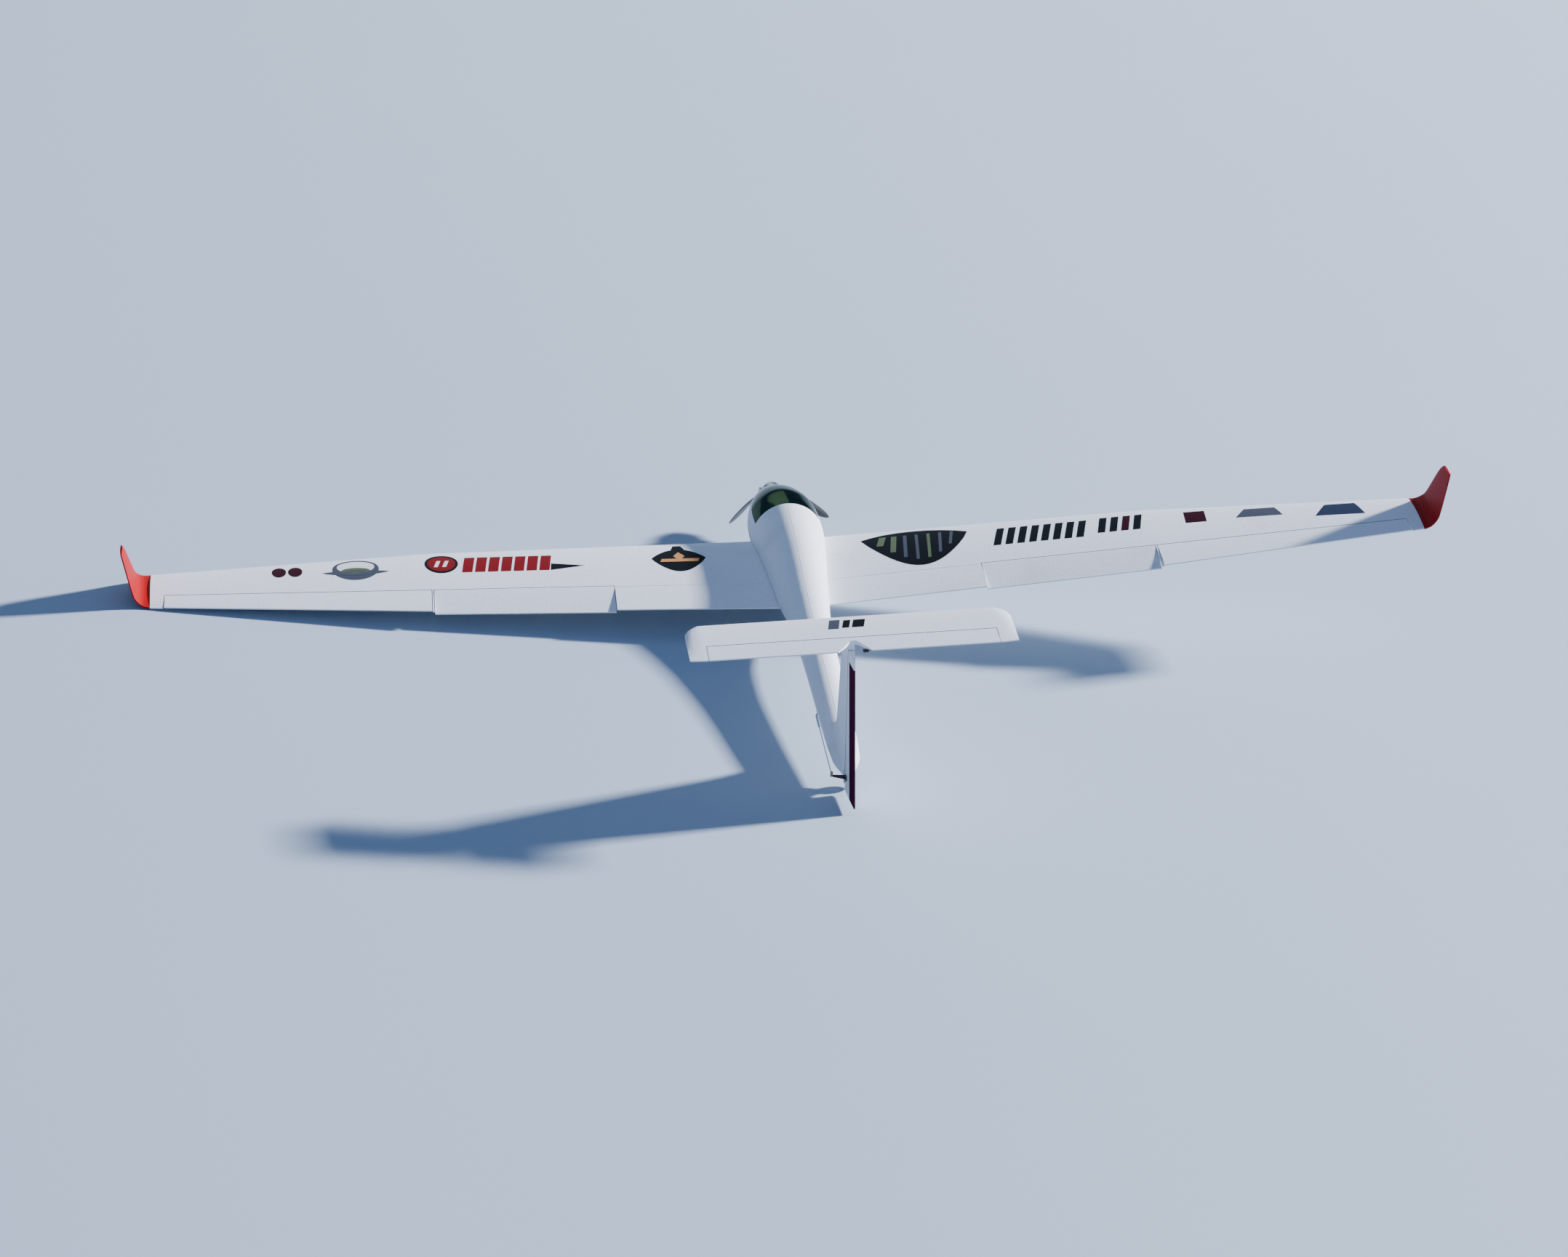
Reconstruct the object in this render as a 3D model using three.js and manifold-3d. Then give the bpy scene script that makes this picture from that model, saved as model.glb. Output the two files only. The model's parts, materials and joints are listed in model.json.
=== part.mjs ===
// A radio-controlled foam sailplane of two metres span with a T-tail and a folding propeller.
// Millimetres. The airframe is drawn level: x to the right, y towards the nose, z up, with the
// datum on the centreline at the trailing edge of the wing root. At the end it is set down on
// its main wheel, its tail wheel and its left wing tip, as it rests on a flat floor.
import * as THREE from 'three';
import { mergeVertices } from 'three/addons/utils/BufferGeometryUtils.js';
import Module from 'manifold-3d';

const wasm = await Module();
wasm.setup();

const UP = new THREE.Vector3(0, 0, 1);
const AFT = new THREE.Vector3(0, -1, 0);
const RIGHT = new THREE.Vector3(1, 0, 0);
const SEAT = 0.3; // the gap between two pieces that rest on each other

// Fuselage: ellipses from the nose to the stern.
const FUSELAGE = [
  { y: 385, half: 18.5, low: -30.5, high: 6.5 },
  { y: 350, half: 36, low: -42, high: 26 },
  { y: 300, half: 50, low: -51, high: 51 },
  { y: 250, half: 57, low: -55, high: 68 },
  { y: 200, half: 58, low: -54, high: 74 },
  { y: 120, half: 52, low: -47, high: 70 },
  { y: 50, half: 44, low: -35, high: 60 },
  { y: 0, half: 39, low: -26, high: 52 },
  { y: -80, half: 31, low: -13, high: 43 },
  { y: -200, half: 26.5, low: -7, high: 35 },
  { y: -380, half: 23.5, low: -5, high: 29 },
  { y: -445, half: 20, low: -5, high: 26 },
  { y: -470.3, half: 9, low: -8, high: 23 },
];
const RINGS_PER_BAY = 2;
const RING_POINTS = 36;

// Canopy, battery bay and motor.
const CANOPY = { rear: 200, sill: 40, slope: -0.12, wall: 3, tray: 4 };
const BAY = { half: 27, rear: 212, front: 328, floor: -16 };
const BATTERY = { width: 34, length: 105, height: 24, y: 268 };
const MOTOR = { radius: 14, length: 30, bore: 15.5, depth: 34 };

// Folding propeller. The blades are stored open, level with the floor.
const PROPELLER = {
  z: -12, plane: 395, fold: 56, pivot: 17, pin: 1.5, pinHole: 1.8, boss: 4.5, bossHeight: 7,
};
const SPINNER = {
  radius: 18.5, back: 386.5, length: 31, plate: 2, slotHalf: 7.6, slotFront: 402, notchIn: 8,
};
const YOKE = { half: 21, front: 400, cheekGap: 0.4, cheek: 2.6, shaft: 2, rootGap: 1.5, pinSunk: 0.5 };
const BLADE = [
  { r: 20, chord: 8, pitch: 38, thick: 0.42 },
  { r: 27, chord: 8.5, pitch: 36, thick: 0.42 },
  { r: 42, chord: 17, pitch: 30, thick: 0.17 },
  { r: 75, chord: 20, pitch: 20, thick: 0.12 },
  { r: 110, chord: 15, pitch: 14, thick: 0.11 },
  { r: 133, chord: 6, pitch: 11, thick: 0.12 },
];

// Wing: straight between the root, the break and the tip.
const DIHEDRAL = 0.045;
const WING = [
  { x: 20, lead: 207, trail: 0, thickness: 0.108 },
  { x: 570, lead: 190, trail: 14, thickness: 0.1 },
  { x: 1000, lead: 145, trail: 46, thickness: 0.09 },
];
const WING_CAMBER = 0.026;
const WING_HINGE = 0.72;
const FLAP = { from: 290, to: 568, droop: 5 };
const AILERON = { from: 572, to: 978, droop: -2 };
// Winglet: leaves the tip level and bends up along an arc.
const WINGLET = [
  { x: 1000.3, z: 0, lead: 145, trail: 46, thickness: 0.09, lean: 3 },
  { x: 1012, z: 3.5, lead: 140, trail: 48, thickness: 0.085, lean: 30 },
  { x: 1021, z: 13, lead: 133, trail: 50, thickness: 0.08, lean: 62 },
  { x: 1025, z: 26, lead: 125, trail: 51, thickness: 0.08, lean: 78 },
  { x: 1033, z: 74, lead: 102, trail: 54, thickness: 0.08, lean: 80 },
  { x: 1036, z: 90, lead: 88, trail: 57, thickness: 0.09, lean: 80 },
];

// T-tail.
const FIN = [
  { z: -22, lead: -366, trail: -530, thickness: 0.115 },
  { z: 231, lead: -418, trail: -505, thickness: 0.13 },
];
const FIN_HINGE = 0.68;
const FIN_FOOT = 8;
const RUDDER = { from: -20, to: 214 };
const TAILPLANE = { z: 236, lead: -422, trail: -515, thickness: 0.1, half: 212 };
const TAIL_TIP = { half: 232, sweep: 22, trailIn: 2, thinning: 0.55 };
const TAIL_TIP_STEPS = [0, 0.5, 0.85, 1];
const TAIL_HINGE = 0.667;
const ELEVATOR = { half: 205, notchHalf: 24, notchFront: -491, notchFlat: 4 };

// Wheels.
const MAIN_WHEEL = { y: 205, z: -48, radius: 24, tyre: 8, hubHalf: 6.5, pin: 1.5, pinHole: 1.8 };
const WHEEL_BOX = { half: 12, wall: 2, rear: 178, front: 232, roof: -22 };
const TAIL_WHEEL = { y: -456, z: -20.5, radius: 10.5, tyre: 2.6, hubHalf: 2.2, pin: 1, pinHole: 1.3 };
const HUB_REACH = 1.6; // how far inside the tyre's rim the hub ends, in tyre radii
const TYRE_WRAP = 125; // degrees of the tyre's round section to either side of its tread
const BRACKET = {
  cheekGap: 0.8, cheek: 1.6, cheekHalf: 3.5, cheekDrop: 3,
  footAhead: 15, footBehind: 8, footWide: 4, footDeep: 2.5,
};

// Servos, horns and rods. Each rod runs beside the horn and the arm that hold it.
const SERVO = { length: 23, width: 12, height: 9, proud: 1.5, arm: 12, armWidth: 5, armThick: 1.6 };
// A horn's foot runs from its base to its heel behind the hinge line, its tip a nose ahead of it.
const HORN = { thick: 1.6, reach: 13, base: 12, heel: 5, nose: 2 };
const ROD = 0.75;
const ROD_ABREAST = 0.4; // between a rod and the face of its horn or arm
const WING_SERVOS = [
  { surface: 'flap', x: 430, ahead: 48 },
  { surface: 'aileron', x: 775, ahead: 40 },
];
const TAIL_ROD = { x: -25.8, z: 7, front: -322 };
const ROD_GUIDE = { front: -318, length: 32, radius: 1.7, bore: 1.15, cap: 3 };
const FIN_SERVO = { left: -1.5, y: -442, z: 196, armIn: 3, rodIn: 2 };
const ELEVATOR_HORN = { x: 24, reach: 17 };

// Gaps where the control surfaces turn.
const NOSE_GAP = 0.9;
const END_GAP = 1.2;
const HOLLOW_SIDES = 24;
const SKIN_INSET = 0.2;

const paint = (color, roughness, metalness = 0) => (
  new THREE.MeshStandardMaterial({ color, roughness, metalness }));
const FOAM = paint(0xf3f4f2, 0.55);
const RED_FOAM = paint(0xd4232b, 0.5);
const CANOPY_GLOSS = paint(0x0b1d1a, 0.08);
const BLACK_PLASTIC = paint(0x18191b, 0.45);
const WHITE_NYLON = paint(0xe6e6e2, 0.4);
const DARK_SERVO = paint(0x232833, 0.4);
const TYRE = paint(0x1a1a1a, 0.85);
const STEEL = paint(0xb9bcc0, 0.3, 1);
const ALUMINIUM = paint(0xc9ccd0, 0.35, 1);
const BATTERY_WRAP = paint(0x22407a, 0.4);

/** A closed geometry as a solid that can be joined and cut. */
function solid(geometry) {
  const plain = geometry.clone();
  plain.deleteAttribute('normal');
  plain.deleteAttribute('uv');
  const merged = mergeVertices(plain, 1e-4);
  return new wasm.Manifold(new wasm.Mesh({
    numProp: 3,
    vertProperties: new Float32Array(merged.attributes.position.array),
    triVerts: new Uint32Array(merged.index.array),
  }));
}

/** A solid back as a geometry. */
function geometryOf(manifold) {
  const mesh = manifold.getMesh();
  const geometry = new THREE.BufferGeometry();
  geometry.setAttribute('position', new THREE.BufferAttribute(new Float32Array(mesh.vertProperties), 3));
  geometry.setIndex(new THREE.BufferAttribute(new Uint32Array(mesh.triVerts), 1));
  geometry.computeVertexNormals();
  return geometry;
}

/** Six times the volume that a closed index list holds: negative where its faces point in. */
function signedVolume(points, index) {
  let sum = 0;
  for (let i = 0; i < index.length; i += 3) {
    const [a, b, c] = [points[index[i]], points[index[i + 1]], points[index[i + 2]]];
    sum += a.dot(b.clone().cross(c));
  }
  return sum;
}

/** A closed skin over rings of equal length, capped at both ends. */
function loft(rings) {
  const count = rings[0].length;
  const points = rings.flat();
  const index = [];
  for (let i = 0; i + 1 < rings.length; i++) {
    for (let j = 0; j < count; j++) {
      const k = (j + 1) % count;
      const [a, b, c, d] = [i * count + j, i * count + k, (i + 1) * count + k, (i + 1) * count + j];
      index.push(a, b, c, a, c, d);
    }
  }
  for (const last of [false, true]) {
    const ring = last ? rings.at(-1) : rings[0];
    const offset = last ? (rings.length - 1) * count : 0;
    points.push(ring.reduce((sum, p) => sum.add(p), new THREE.Vector3()).divideScalar(count));
    for (let j = 0; j < count; j++) {
      const pair = [offset + j, offset + ((j + 1) % count)];
      if (!last) pair.reverse();
      index.push(points.length - 1, ...pair);
    }
  }
  if (signedVolume(points, index) < 0) index.reverse();
  const geometry = new THREE.BufferGeometry().setFromPoints(points);
  geometry.setIndex(index);
  geometry.computeVertexNormals();
  return geometry;
}

/** A box between two corners. */
function block(low, high) {
  const size = high.map((value, i) => value - low[i]);
  return new THREE.BoxGeometry(...size).translate(...low.map((value, i) => value + size[i] / 2));
}

/** A cylinder or cone frustum from one point to another. */
function rod(start, end, radiusStart, radiusEnd = radiusStart, sides = 16) {
  const along = end.clone().sub(start);
  const geometry = new THREE.CylinderGeometry(radiusEnd, radiusStart, along.length(), sides);
  const turn = new THREE.Quaternion().setFromUnitVectors(AFT.clone().negate(), along.clone().normalize());
  const middle = start.clone().add(end).multiplyScalar(0.5);
  return geometry.applyMatrix4(new THREE.Matrix4().compose(middle, turn, new THREE.Vector3(1, 1, 1)));
}

/** The same piece on the other side of the centreline. */
function mirrored(geometry) {
  const copy = geometry.clone().scale(-1, 1, 1);
  copy.index.array.reverse();
  copy.computeVertexNormals();
  return copy;
}

/** Smooth value of one column of a station table at y, with no overshoot between stations. */
function columnAt(table, column, y) {
  const last = table.length - 1;
  const i = Math.min(Math.max(table.findIndex((row) => row.y <= y) - 1, 0), last - 1);
  const slope = (k) => (table[k + 1][column] - table[k][column]) / (table[k + 1].y - table[k].y);
  const tangent = (k) => {
    if (k === 0) return slope(0);
    if (k === last) return slope(last - 1);
    const [before, after] = [slope(k - 1), slope(k)];
    return before * after > 0 ? (2 * before * after) / (before + after) : 0;
  };
  const step = table[i + 1].y - table[i].y;
  const t = (y - table[i].y) / step;
  const [t2, t3] = [t * t, t * t * t];
  return (2 * t3 - 3 * t2 + 1) * table[i][column] + (t3 - 2 * t2 + t) * step * tangent(i)
    + (3 * t2 - 2 * t3) * table[i + 1][column] + (t3 - t2) * step * tangent(i + 1);
}

/** The fuselage's outer skin, or one parallel to it inside (positive inset) or outside. */
function fuselageSkin(inset = 0) {
  const places = [];
  for (let i = 0; i + 1 < FUSELAGE.length; i++) {
    const [start, end] = [FUSELAGE[i].y, FUSELAGE[i + 1].y];
    for (let k = 0; k < RINGS_PER_BAY; k++) places.push(start + ((end - start) * k) / RINGS_PER_BAY);
  }
  places.push(FUSELAGE.at(-1).y);
  return loft(places.map((y) => {
    const half = columnAt(FUSELAGE, 'half', y) - inset;
    const low = columnAt(FUSELAGE, 'low', y) + inset;
    const high = columnAt(FUSELAGE, 'high', y) - inset;
    return Array.from({ length: RING_POINTS }, (_, j) => {
      const angle = (2 * Math.PI * j) / RING_POINTS;
      const z = (low + high) / 2 + ((high - low) / 2) * Math.cos(angle);
      return new THREE.Vector3(half * Math.sin(angle), y, z);
    });
  }));
}

// Aerofoils: thickness as in the classic four-digit series, with a blunt trailing edge.
const CHORD_STEPS = 11;
const TRAILING_HALF = 0.9;
const profile = (c) => (
  5 * (0.2969 * Math.sqrt(c) - 0.126 * c - 0.3516 * c ** 2 + 0.2843 * c ** 3 - 0.1036 * c ** 4));

/** The point on the mean line at a fraction of the chord, and the half thickness there. */
function chordPoint({ lead, trail, normal, thickness, camber = 0 }, c) {
  const chord = lead.distanceTo(trail);
  const point = lead.clone().lerp(trail, c).addScaledVector(normal, 4 * camber * c * (1 - c) * chord);
  return { point, half: profile(c) * thickness * chord + TRAILING_HALF * c };
}

/** One ring of an aerofoil between its leading and trailing points. */
function aerofoil(section) {
  const [upper, lower] = [[], []];
  for (let i = 0; i <= CHORD_STEPS; i++) {
    const c = (1 - Math.cos((Math.PI * i) / CHORD_STEPS)) / 2;
    const { point, half } = chordPoint(section, c);
    upper.push(point.clone().addScaledVector(section.normal, half));
    if (i > 0) lower.push(point.clone().addScaledVector(section.normal, -half));
  }
  return [...upper.reverse(), ...lower];
}

/** Mean-line point and half thickness on a straight-tapered surface, at a place along its span. */
function spanPoint(sections, key, place, c) {
  const i = sections.findIndex((s, k) => k + 1 < sections.length && place <= sections[k + 1][key]);
  const [inner, outer] = [sections[i], sections[i + 1]];
  const t = (place - inner[key]) / (outer[key] - inner[key]);
  const [a, b] = [chordPoint(inner, c), chordPoint(outer, c)];
  return { point: a.point.lerp(b.point, t), half: a.half + (b.half - a.half) * t };
}

/** A wedge between two hinge points, from a distance ahead of the hinge line to well behind it. */
function wedge(from, to, frontFrom, frontTo, lengthen) {
  const [reach, tall] = [120, 60];
  const axis = to.point.clone().sub(from.point).normalize();
  const aft = AFT.clone().addScaledVector(axis, -AFT.dot(axis)).normalize();
  const side = axis.clone().cross(aft);
  const corner = (base, front, along) => [[front, tall], [reach, tall], [reach, -tall], [front, -tall]].map(
    ([a, s]) => base.clone().addScaledVector(axis, along).addScaledVector(aft, a).addScaledVector(side, s));
  return solid(loft([corner(from.point, frontFrom, -lengthen), corner(to.point, frontTo, lengthen)]));
}

/** Splits a hinged surface off a solid: the solid with its hollow, and the surface's round nose. */
function hinge(whole, from, to, lengthen = END_GAP) {
  const axis = to.point.clone().sub(from.point).normalize();
  const past = (end, along) => end.point.clone().addScaledVector(axis, along);
  const hollow = solid(rod(
    past(from, -lengthen), past(to, lengthen), from.half + NOSE_GAP, to.half + NOSE_GAP, HOLLOW_SIDES));
  const nose = solid(rod(from.point, to.point, from.half - SKIN_INSET, to.half - SKIN_INSET));
  return {
    fixed: whole.subtract(wedge(from, to, 0, 0, lengthen)).subtract(hollow),
    surface: whole.intersect(wedge(from, to, -SKIN_INSET, -SKIN_INSET, 0)).add(nose),
    axis,
    at: from.point,
  };
}

const glider = new THREE.Group();
const airframe = new THREE.Group();
glider.add(airframe);

/** Adds a named mesh to a group; a solid is turned into a geometry first. */
function add(group, name, shape, material) {
  const geometry = shape instanceof THREE.BufferGeometry ? shape : geometryOf(shape);
  const mesh = new THREE.Mesh(geometry, material);
  mesh.name = name;
  group.add(mesh);
  return mesh;
}

/** A group that turns about an axis through a point, with its children drawn in airframe places. */
function pivot(joint, point, axis, degrees, pieces) {
  const group = new THREE.Group();
  group.position.copy(point);
  group.quaternion.setFromAxisAngle(axis, THREE.MathUtils.degToRad(degrees));
  group.userData = { joint, axis: axis.toArray() };
  for (const [name, shape, material] of pieces) {
    const mesh = add(group, name, shape, material);
    mesh.geometry.translate(-point.x, -point.y, -point.z);
  }
  airframe.add(group);
  return group;
}

const vec = (x, y, z) => new THREE.Vector3(x, y, z);

// Fuselage and its hollows.
const sillAt = (y) => CANOPY.sill + CANOPY.slope * (y - CANOPY.rear);

/** All that lies above the canopy's sill ahead of its rear edge, each moved by an allowance. */
function aboveSill(rear, raise, top = 200) {
  const front = 420;
  const half = 100;
  const ring = (x) => [
    vec(x, rear, sillAt(rear) + raise), vec(x, front, sillAt(front) + raise),
    vec(x, front, sillAt(front) + top), vec(x, rear, sillAt(rear) + top)];
  return solid(loft([ring(-half), ring(half)]));
}

const finSections = FIN.map(({ z, lead, trail, thickness }) => (
  { z, lead: vec(0, lead, z), trail: vec(0, trail, z), normal: RIGHT, thickness }));
const finWhole = solid(loft(finSections.map(aerofoil)));
const finHinge = (z) => spanPoint(finSections, 'z', z, FIN_HINGE);
const rudderSplit = hinge(finWhole, finHinge(RUDDER.from), finHinge(RUDDER.to));
const finFront = hinge(finWhole, finHinge(FIN[0].z), finHinge(FIN[1].z), 50).fixed
  .subtract(solid(block([-60, -600, -100], [60, -300, FIN_FOOT])));
const tailChord = TAILPLANE.lead - TAILPLANE.trail;
const tailBottom = TAILPLANE.z - profile(0.3) * TAILPLANE.thickness * tailChord - SEAT;

const skin = solid(fuselageSkin());
const wheelSlot = solid(block(
  [-WHEEL_BOX.half - SEAT, WHEEL_BOX.rear - SEAT, -100],
  [WHEEL_BOX.half + SEAT, WHEEL_BOX.front + SEAT, WHEEL_BOX.roof + SEAT]));
const motorBore = solid(rod(
  vec(0, FUSELAGE[0].y - MOTOR.depth, PROPELLER.z), vec(0, FUSELAGE[0].y + 5, PROPELLER.z),
  MOTOR.bore, MOTOR.bore, 24));
const batteryBay = solid(block([-BAY.half, BAY.rear, BAY.floor], [BAY.half, BAY.front, 100]));

/** A pocket round a box-shaped piece, wider than it by the seat gap. */
const pocket = (low, high) => solid(block(low.map((v) => v - SEAT), high.map((v) => v + SEAT)));
const finServoLow = [FIN_SERVO.left, FIN_SERVO.y - SERVO.length / 2, FIN_SERVO.z - SERVO.width / 2];
const finServoHigh = [
  FIN_SERVO.left + SERVO.height, FIN_SERVO.y + SERVO.length / 2, FIN_SERVO.z + SERVO.width / 2];

const fuselage = skin
  .subtract(aboveSill(CANOPY.rear, 0))
  .subtract(batteryBay)
  .subtract(motorBore)
  .subtract(wheelSlot)
  .add(finFront.trimByPlane([0, 0, -1], -tailBottom))
  .subtract(pocket(finServoLow, finServoHigh));
add(airframe, 'fuselage', fuselage, FOAM);

// Canopy: a thin glossy dome and the foam tray that it is bonded to, lifted off as one.
const dome = skin.intersect(aboveSill(CANOPY.rear + SEAT, SEAT));
const inside = solid(fuselageSkin(CANOPY.wall)).intersect(aboveSill(CANOPY.rear + SEAT + CANOPY.wall, -20));
const canopyGroup = new THREE.Group();
canopyGroup.userData = { joint: 'canopy_lift', axis: [0, 0, 1] };
airframe.add(canopyGroup);
add(canopyGroup, 'canopy_dome', dome.subtract(inside), CANOPY_GLOSS);
const trayTop = SEAT + CANOPY.tray;
const tray = solid(fuselageSkin(CANOPY.wall + SEAT))
  .intersect(aboveSill(CANOPY.rear + CANOPY.wall + 2 * SEAT, SEAT, trayTop));
add(canopyGroup, 'canopy_tray', tray, BLACK_PLASTIC);

// Battery and motor: plain blocks at their real size.
add(airframe, 'battery', block(
  [-BATTERY.width / 2, BATTERY.y - BATTERY.length / 2, BAY.floor + SEAT],
  [BATTERY.width / 2, BATTERY.y + BATTERY.length / 2, BAY.floor + SEAT + BATTERY.height]), BATTERY_WRAP);
const motorBack = FUSELAGE[0].y - MOTOR.depth + SEAT;
add(airframe, 'motor', rod(
  vec(0, motorBack, PROPELLER.z), vec(0, motorBack + MOTOR.length, PROPELLER.z),
  MOTOR.radius, MOTOR.radius, 24), STEEL);

// Propeller: a spinner with slots, a yoke with two pins, and a blade on each pin, folded back.
const axisPoint = (y) => vec(0, y, PROPELLER.z);
const SPINNER_STEPS = 8;
const ogive = [[0, 0], [SPINNER.radius, 0]];
for (let i = 0; i < SPINNER_STEPS; i++) {
  const t = i / SPINNER_STEPS;
  const radius = SPINNER.radius * Math.cos((t * Math.PI) / 2) ** 0.75;
  ogive.push([radius, SPINNER.plate + (SPINNER.length - SPINNER.plate) * t]);
}
ogive.push([0, SPINNER.length]);
const spinnerTurned = new THREE.LatheGeometry(ogive.map(([r, h]) => new THREE.Vector2(r, h)), 32)
  .translate(0, SPINNER.back, 0).translate(0, 0, PROPELLER.z);
const slotZ = [PROPELLER.z - SPINNER.slotHalf, PROPELLER.z + SPINNER.slotHalf];
const slotBack = SPINNER.back + SPINNER.plate;
const spinner = [
  block([-30, slotBack, slotZ[0]], [30, SPINNER.slotFront, slotZ[1]]),
  block([-30, SPINNER.back - 1, slotZ[0]], [-SPINNER.notchIn, slotBack + 1, slotZ[1]]),
  block([SPINNER.notchIn, SPINNER.back - 1, slotZ[0]], [30, slotBack + 1, slotZ[1]]),
  rod(axisPoint(SPINNER.back - 1), axisPoint(slotBack + 1), YOKE.shaft + SEAT),
].reduce((body, cut) => body.subtract(solid(cut)), solid(spinnerTurned));

const cheekIn = PROPELLER.bossHeight / 2 + YOKE.cheekGap;
const cheekOut = cheekIn + YOKE.cheek;
const yokeY = [slotBack + SEAT, YOKE.front];
const yokeCuts = [-1, 1].map((side) => {
  const inner = side * (PROPELLER.pivot - PROPELLER.boss - YOKE.rootGap);
  return block(
    [Math.min(inner, side * 40), yokeY[0] - 1, PROPELLER.z - cheekIn],
    [Math.max(inner, side * 40), yokeY[1] + 1, PROPELLER.z + cheekIn]);
});
const yokeBar = block(
  [-YOKE.half, yokeY[0], PROPELLER.z - cheekOut], [YOKE.half, yokeY[1], PROPELLER.z + cheekOut]);
const pinHalf = cheekOut - YOKE.pinSunk;
const pins = [-1, 1].map((side) => rod(
  vec(side * PROPELLER.pivot, PROPELLER.plane, PROPELLER.z - pinHalf),
  vec(side * PROPELLER.pivot, PROPELLER.plane, PROPELLER.z + pinHalf), PROPELLER.pin, PROPELLER.pin, 12));
const shaft = rod(axisPoint(motorBack + MOTOR.length + SEAT), axisPoint(yokeY[0] + 1), YOKE.shaft);
const yoke = [...pins, shaft].reduce(
  (body, piece) => body.add(solid(piece)),
  yokeCuts.reduce((body, cut) => body.subtract(solid(cut)), solid(yokeBar)));

const bladeRing = ({ r, chord, pitch, thick }) => {
  const angle = THREE.MathUtils.degToRad(pitch);
  const along = vec(0, Math.sin(angle), Math.cos(angle));
  const normal = vec(0, Math.cos(angle), -Math.sin(angle));
  const middle = vec(r, PROPELLER.plane, PROPELLER.z);
  return Array.from({ length: 12 }, (_, j) => {
    const turn = (2 * Math.PI * j) / 12;
    return middle.clone().addScaledVector(along, (chord / 2) * Math.cos(turn))
      .addScaledVector(normal, ((chord * thick) / 2) * Math.sin(turn));
  });
};
const bladePin = (side) => vec(side * PROPELLER.pivot, PROPELLER.plane, PROPELLER.z);
const bossEnds = [-1, 1].map((end) => bladePin(1).addScaledVector(UP, (end * PROPELLER.bossHeight) / 2));
const holeEnds = [-1, 1].map((end) => bladePin(1).addScaledVector(UP, end * 20));
const bladeRight = solid(loft(BLADE.map(bladeRing)))
  .add(solid(rod(...bossEnds, PROPELLER.boss, PROPELLER.boss, 20)))
  .subtract(solid(rod(...holeEnds, PROPELLER.pinHole, PROPELLER.pinHole, 16)));
// The left blade is the right one turned half round the shaft.
const halfTurn = new THREE.Matrix4().makeTranslation(0, 0, PROPELLER.z)
  .multiply(new THREE.Matrix4().makeRotationY(Math.PI))
  .multiply(new THREE.Matrix4().makeTranslation(0, 0, -PROPELLER.z));
const bladeLeft = geometryOf(bladeRight).applyMatrix4(halfTurn);
pivot('prop_spin', axisPoint(PROPELLER.plane), vec(0, 1, 0), 0, [
  ['spinner', spinner, ALUMINIUM],
  ['propeller_yoke', yoke, ALUMINIUM],
]);
pivot('blade_fold_right', bladePin(1), vec(0, 0, -1), PROPELLER.fold, [
  ['propeller_blade_right', bladeRight, BLACK_PLASTIC]]);
pivot('blade_fold_left', bladePin(-1), vec(0, 0, 1), PROPELLER.fold, [
  ['propeller_blade_left', bladeLeft, BLACK_PLASTIC]]);

// Wing: each side is one panel with a flap and an aileron bay, and a winglet on its tip.
const wingSections = WING.map(({ x, lead, trail, thickness }) => ({
  x,
  lead: vec(x, lead, x * DIHEDRAL),
  trail: vec(x, trail, x * DIHEDRAL),
  normal: UP,
  thickness,
  camber: WING_CAMBER,
}));
const wingHinge = (x) => spanPoint(wingSections, 'x', x, WING_HINGE);
const wingPanel = solid(loft(wingSections.map(aerofoil))).subtract(solid(fuselageSkin(-SEAT)));
const flapSplit = hinge(wingPanel, wingHinge(FLAP.from), wingHinge(FLAP.to));
const aileronSplit = hinge(flapSplit.fixed, wingHinge(AILERON.from), wingHinge(AILERON.to));

/** The wing's lower skin under a place, as a height. */
function lowerSkin(x, y) {
  const i = wingSections.findIndex((s, k) => k > 0 && x <= s.x);
  const [inner, outer] = [wingSections[i - 1], wingSections[i]];
  const t = (x - inner.x) / (outer.x - inner.x);
  const [lead, trail] = ['lead', 'trail'].map((edge) => inner[edge].clone().lerp(outer[edge], t));
  const c = (lead.y - y) / (lead.y - trail.y);
  const { point, half } = spanPoint(wingSections, 'x', x, c);
  return point.z - half;
}

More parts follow.
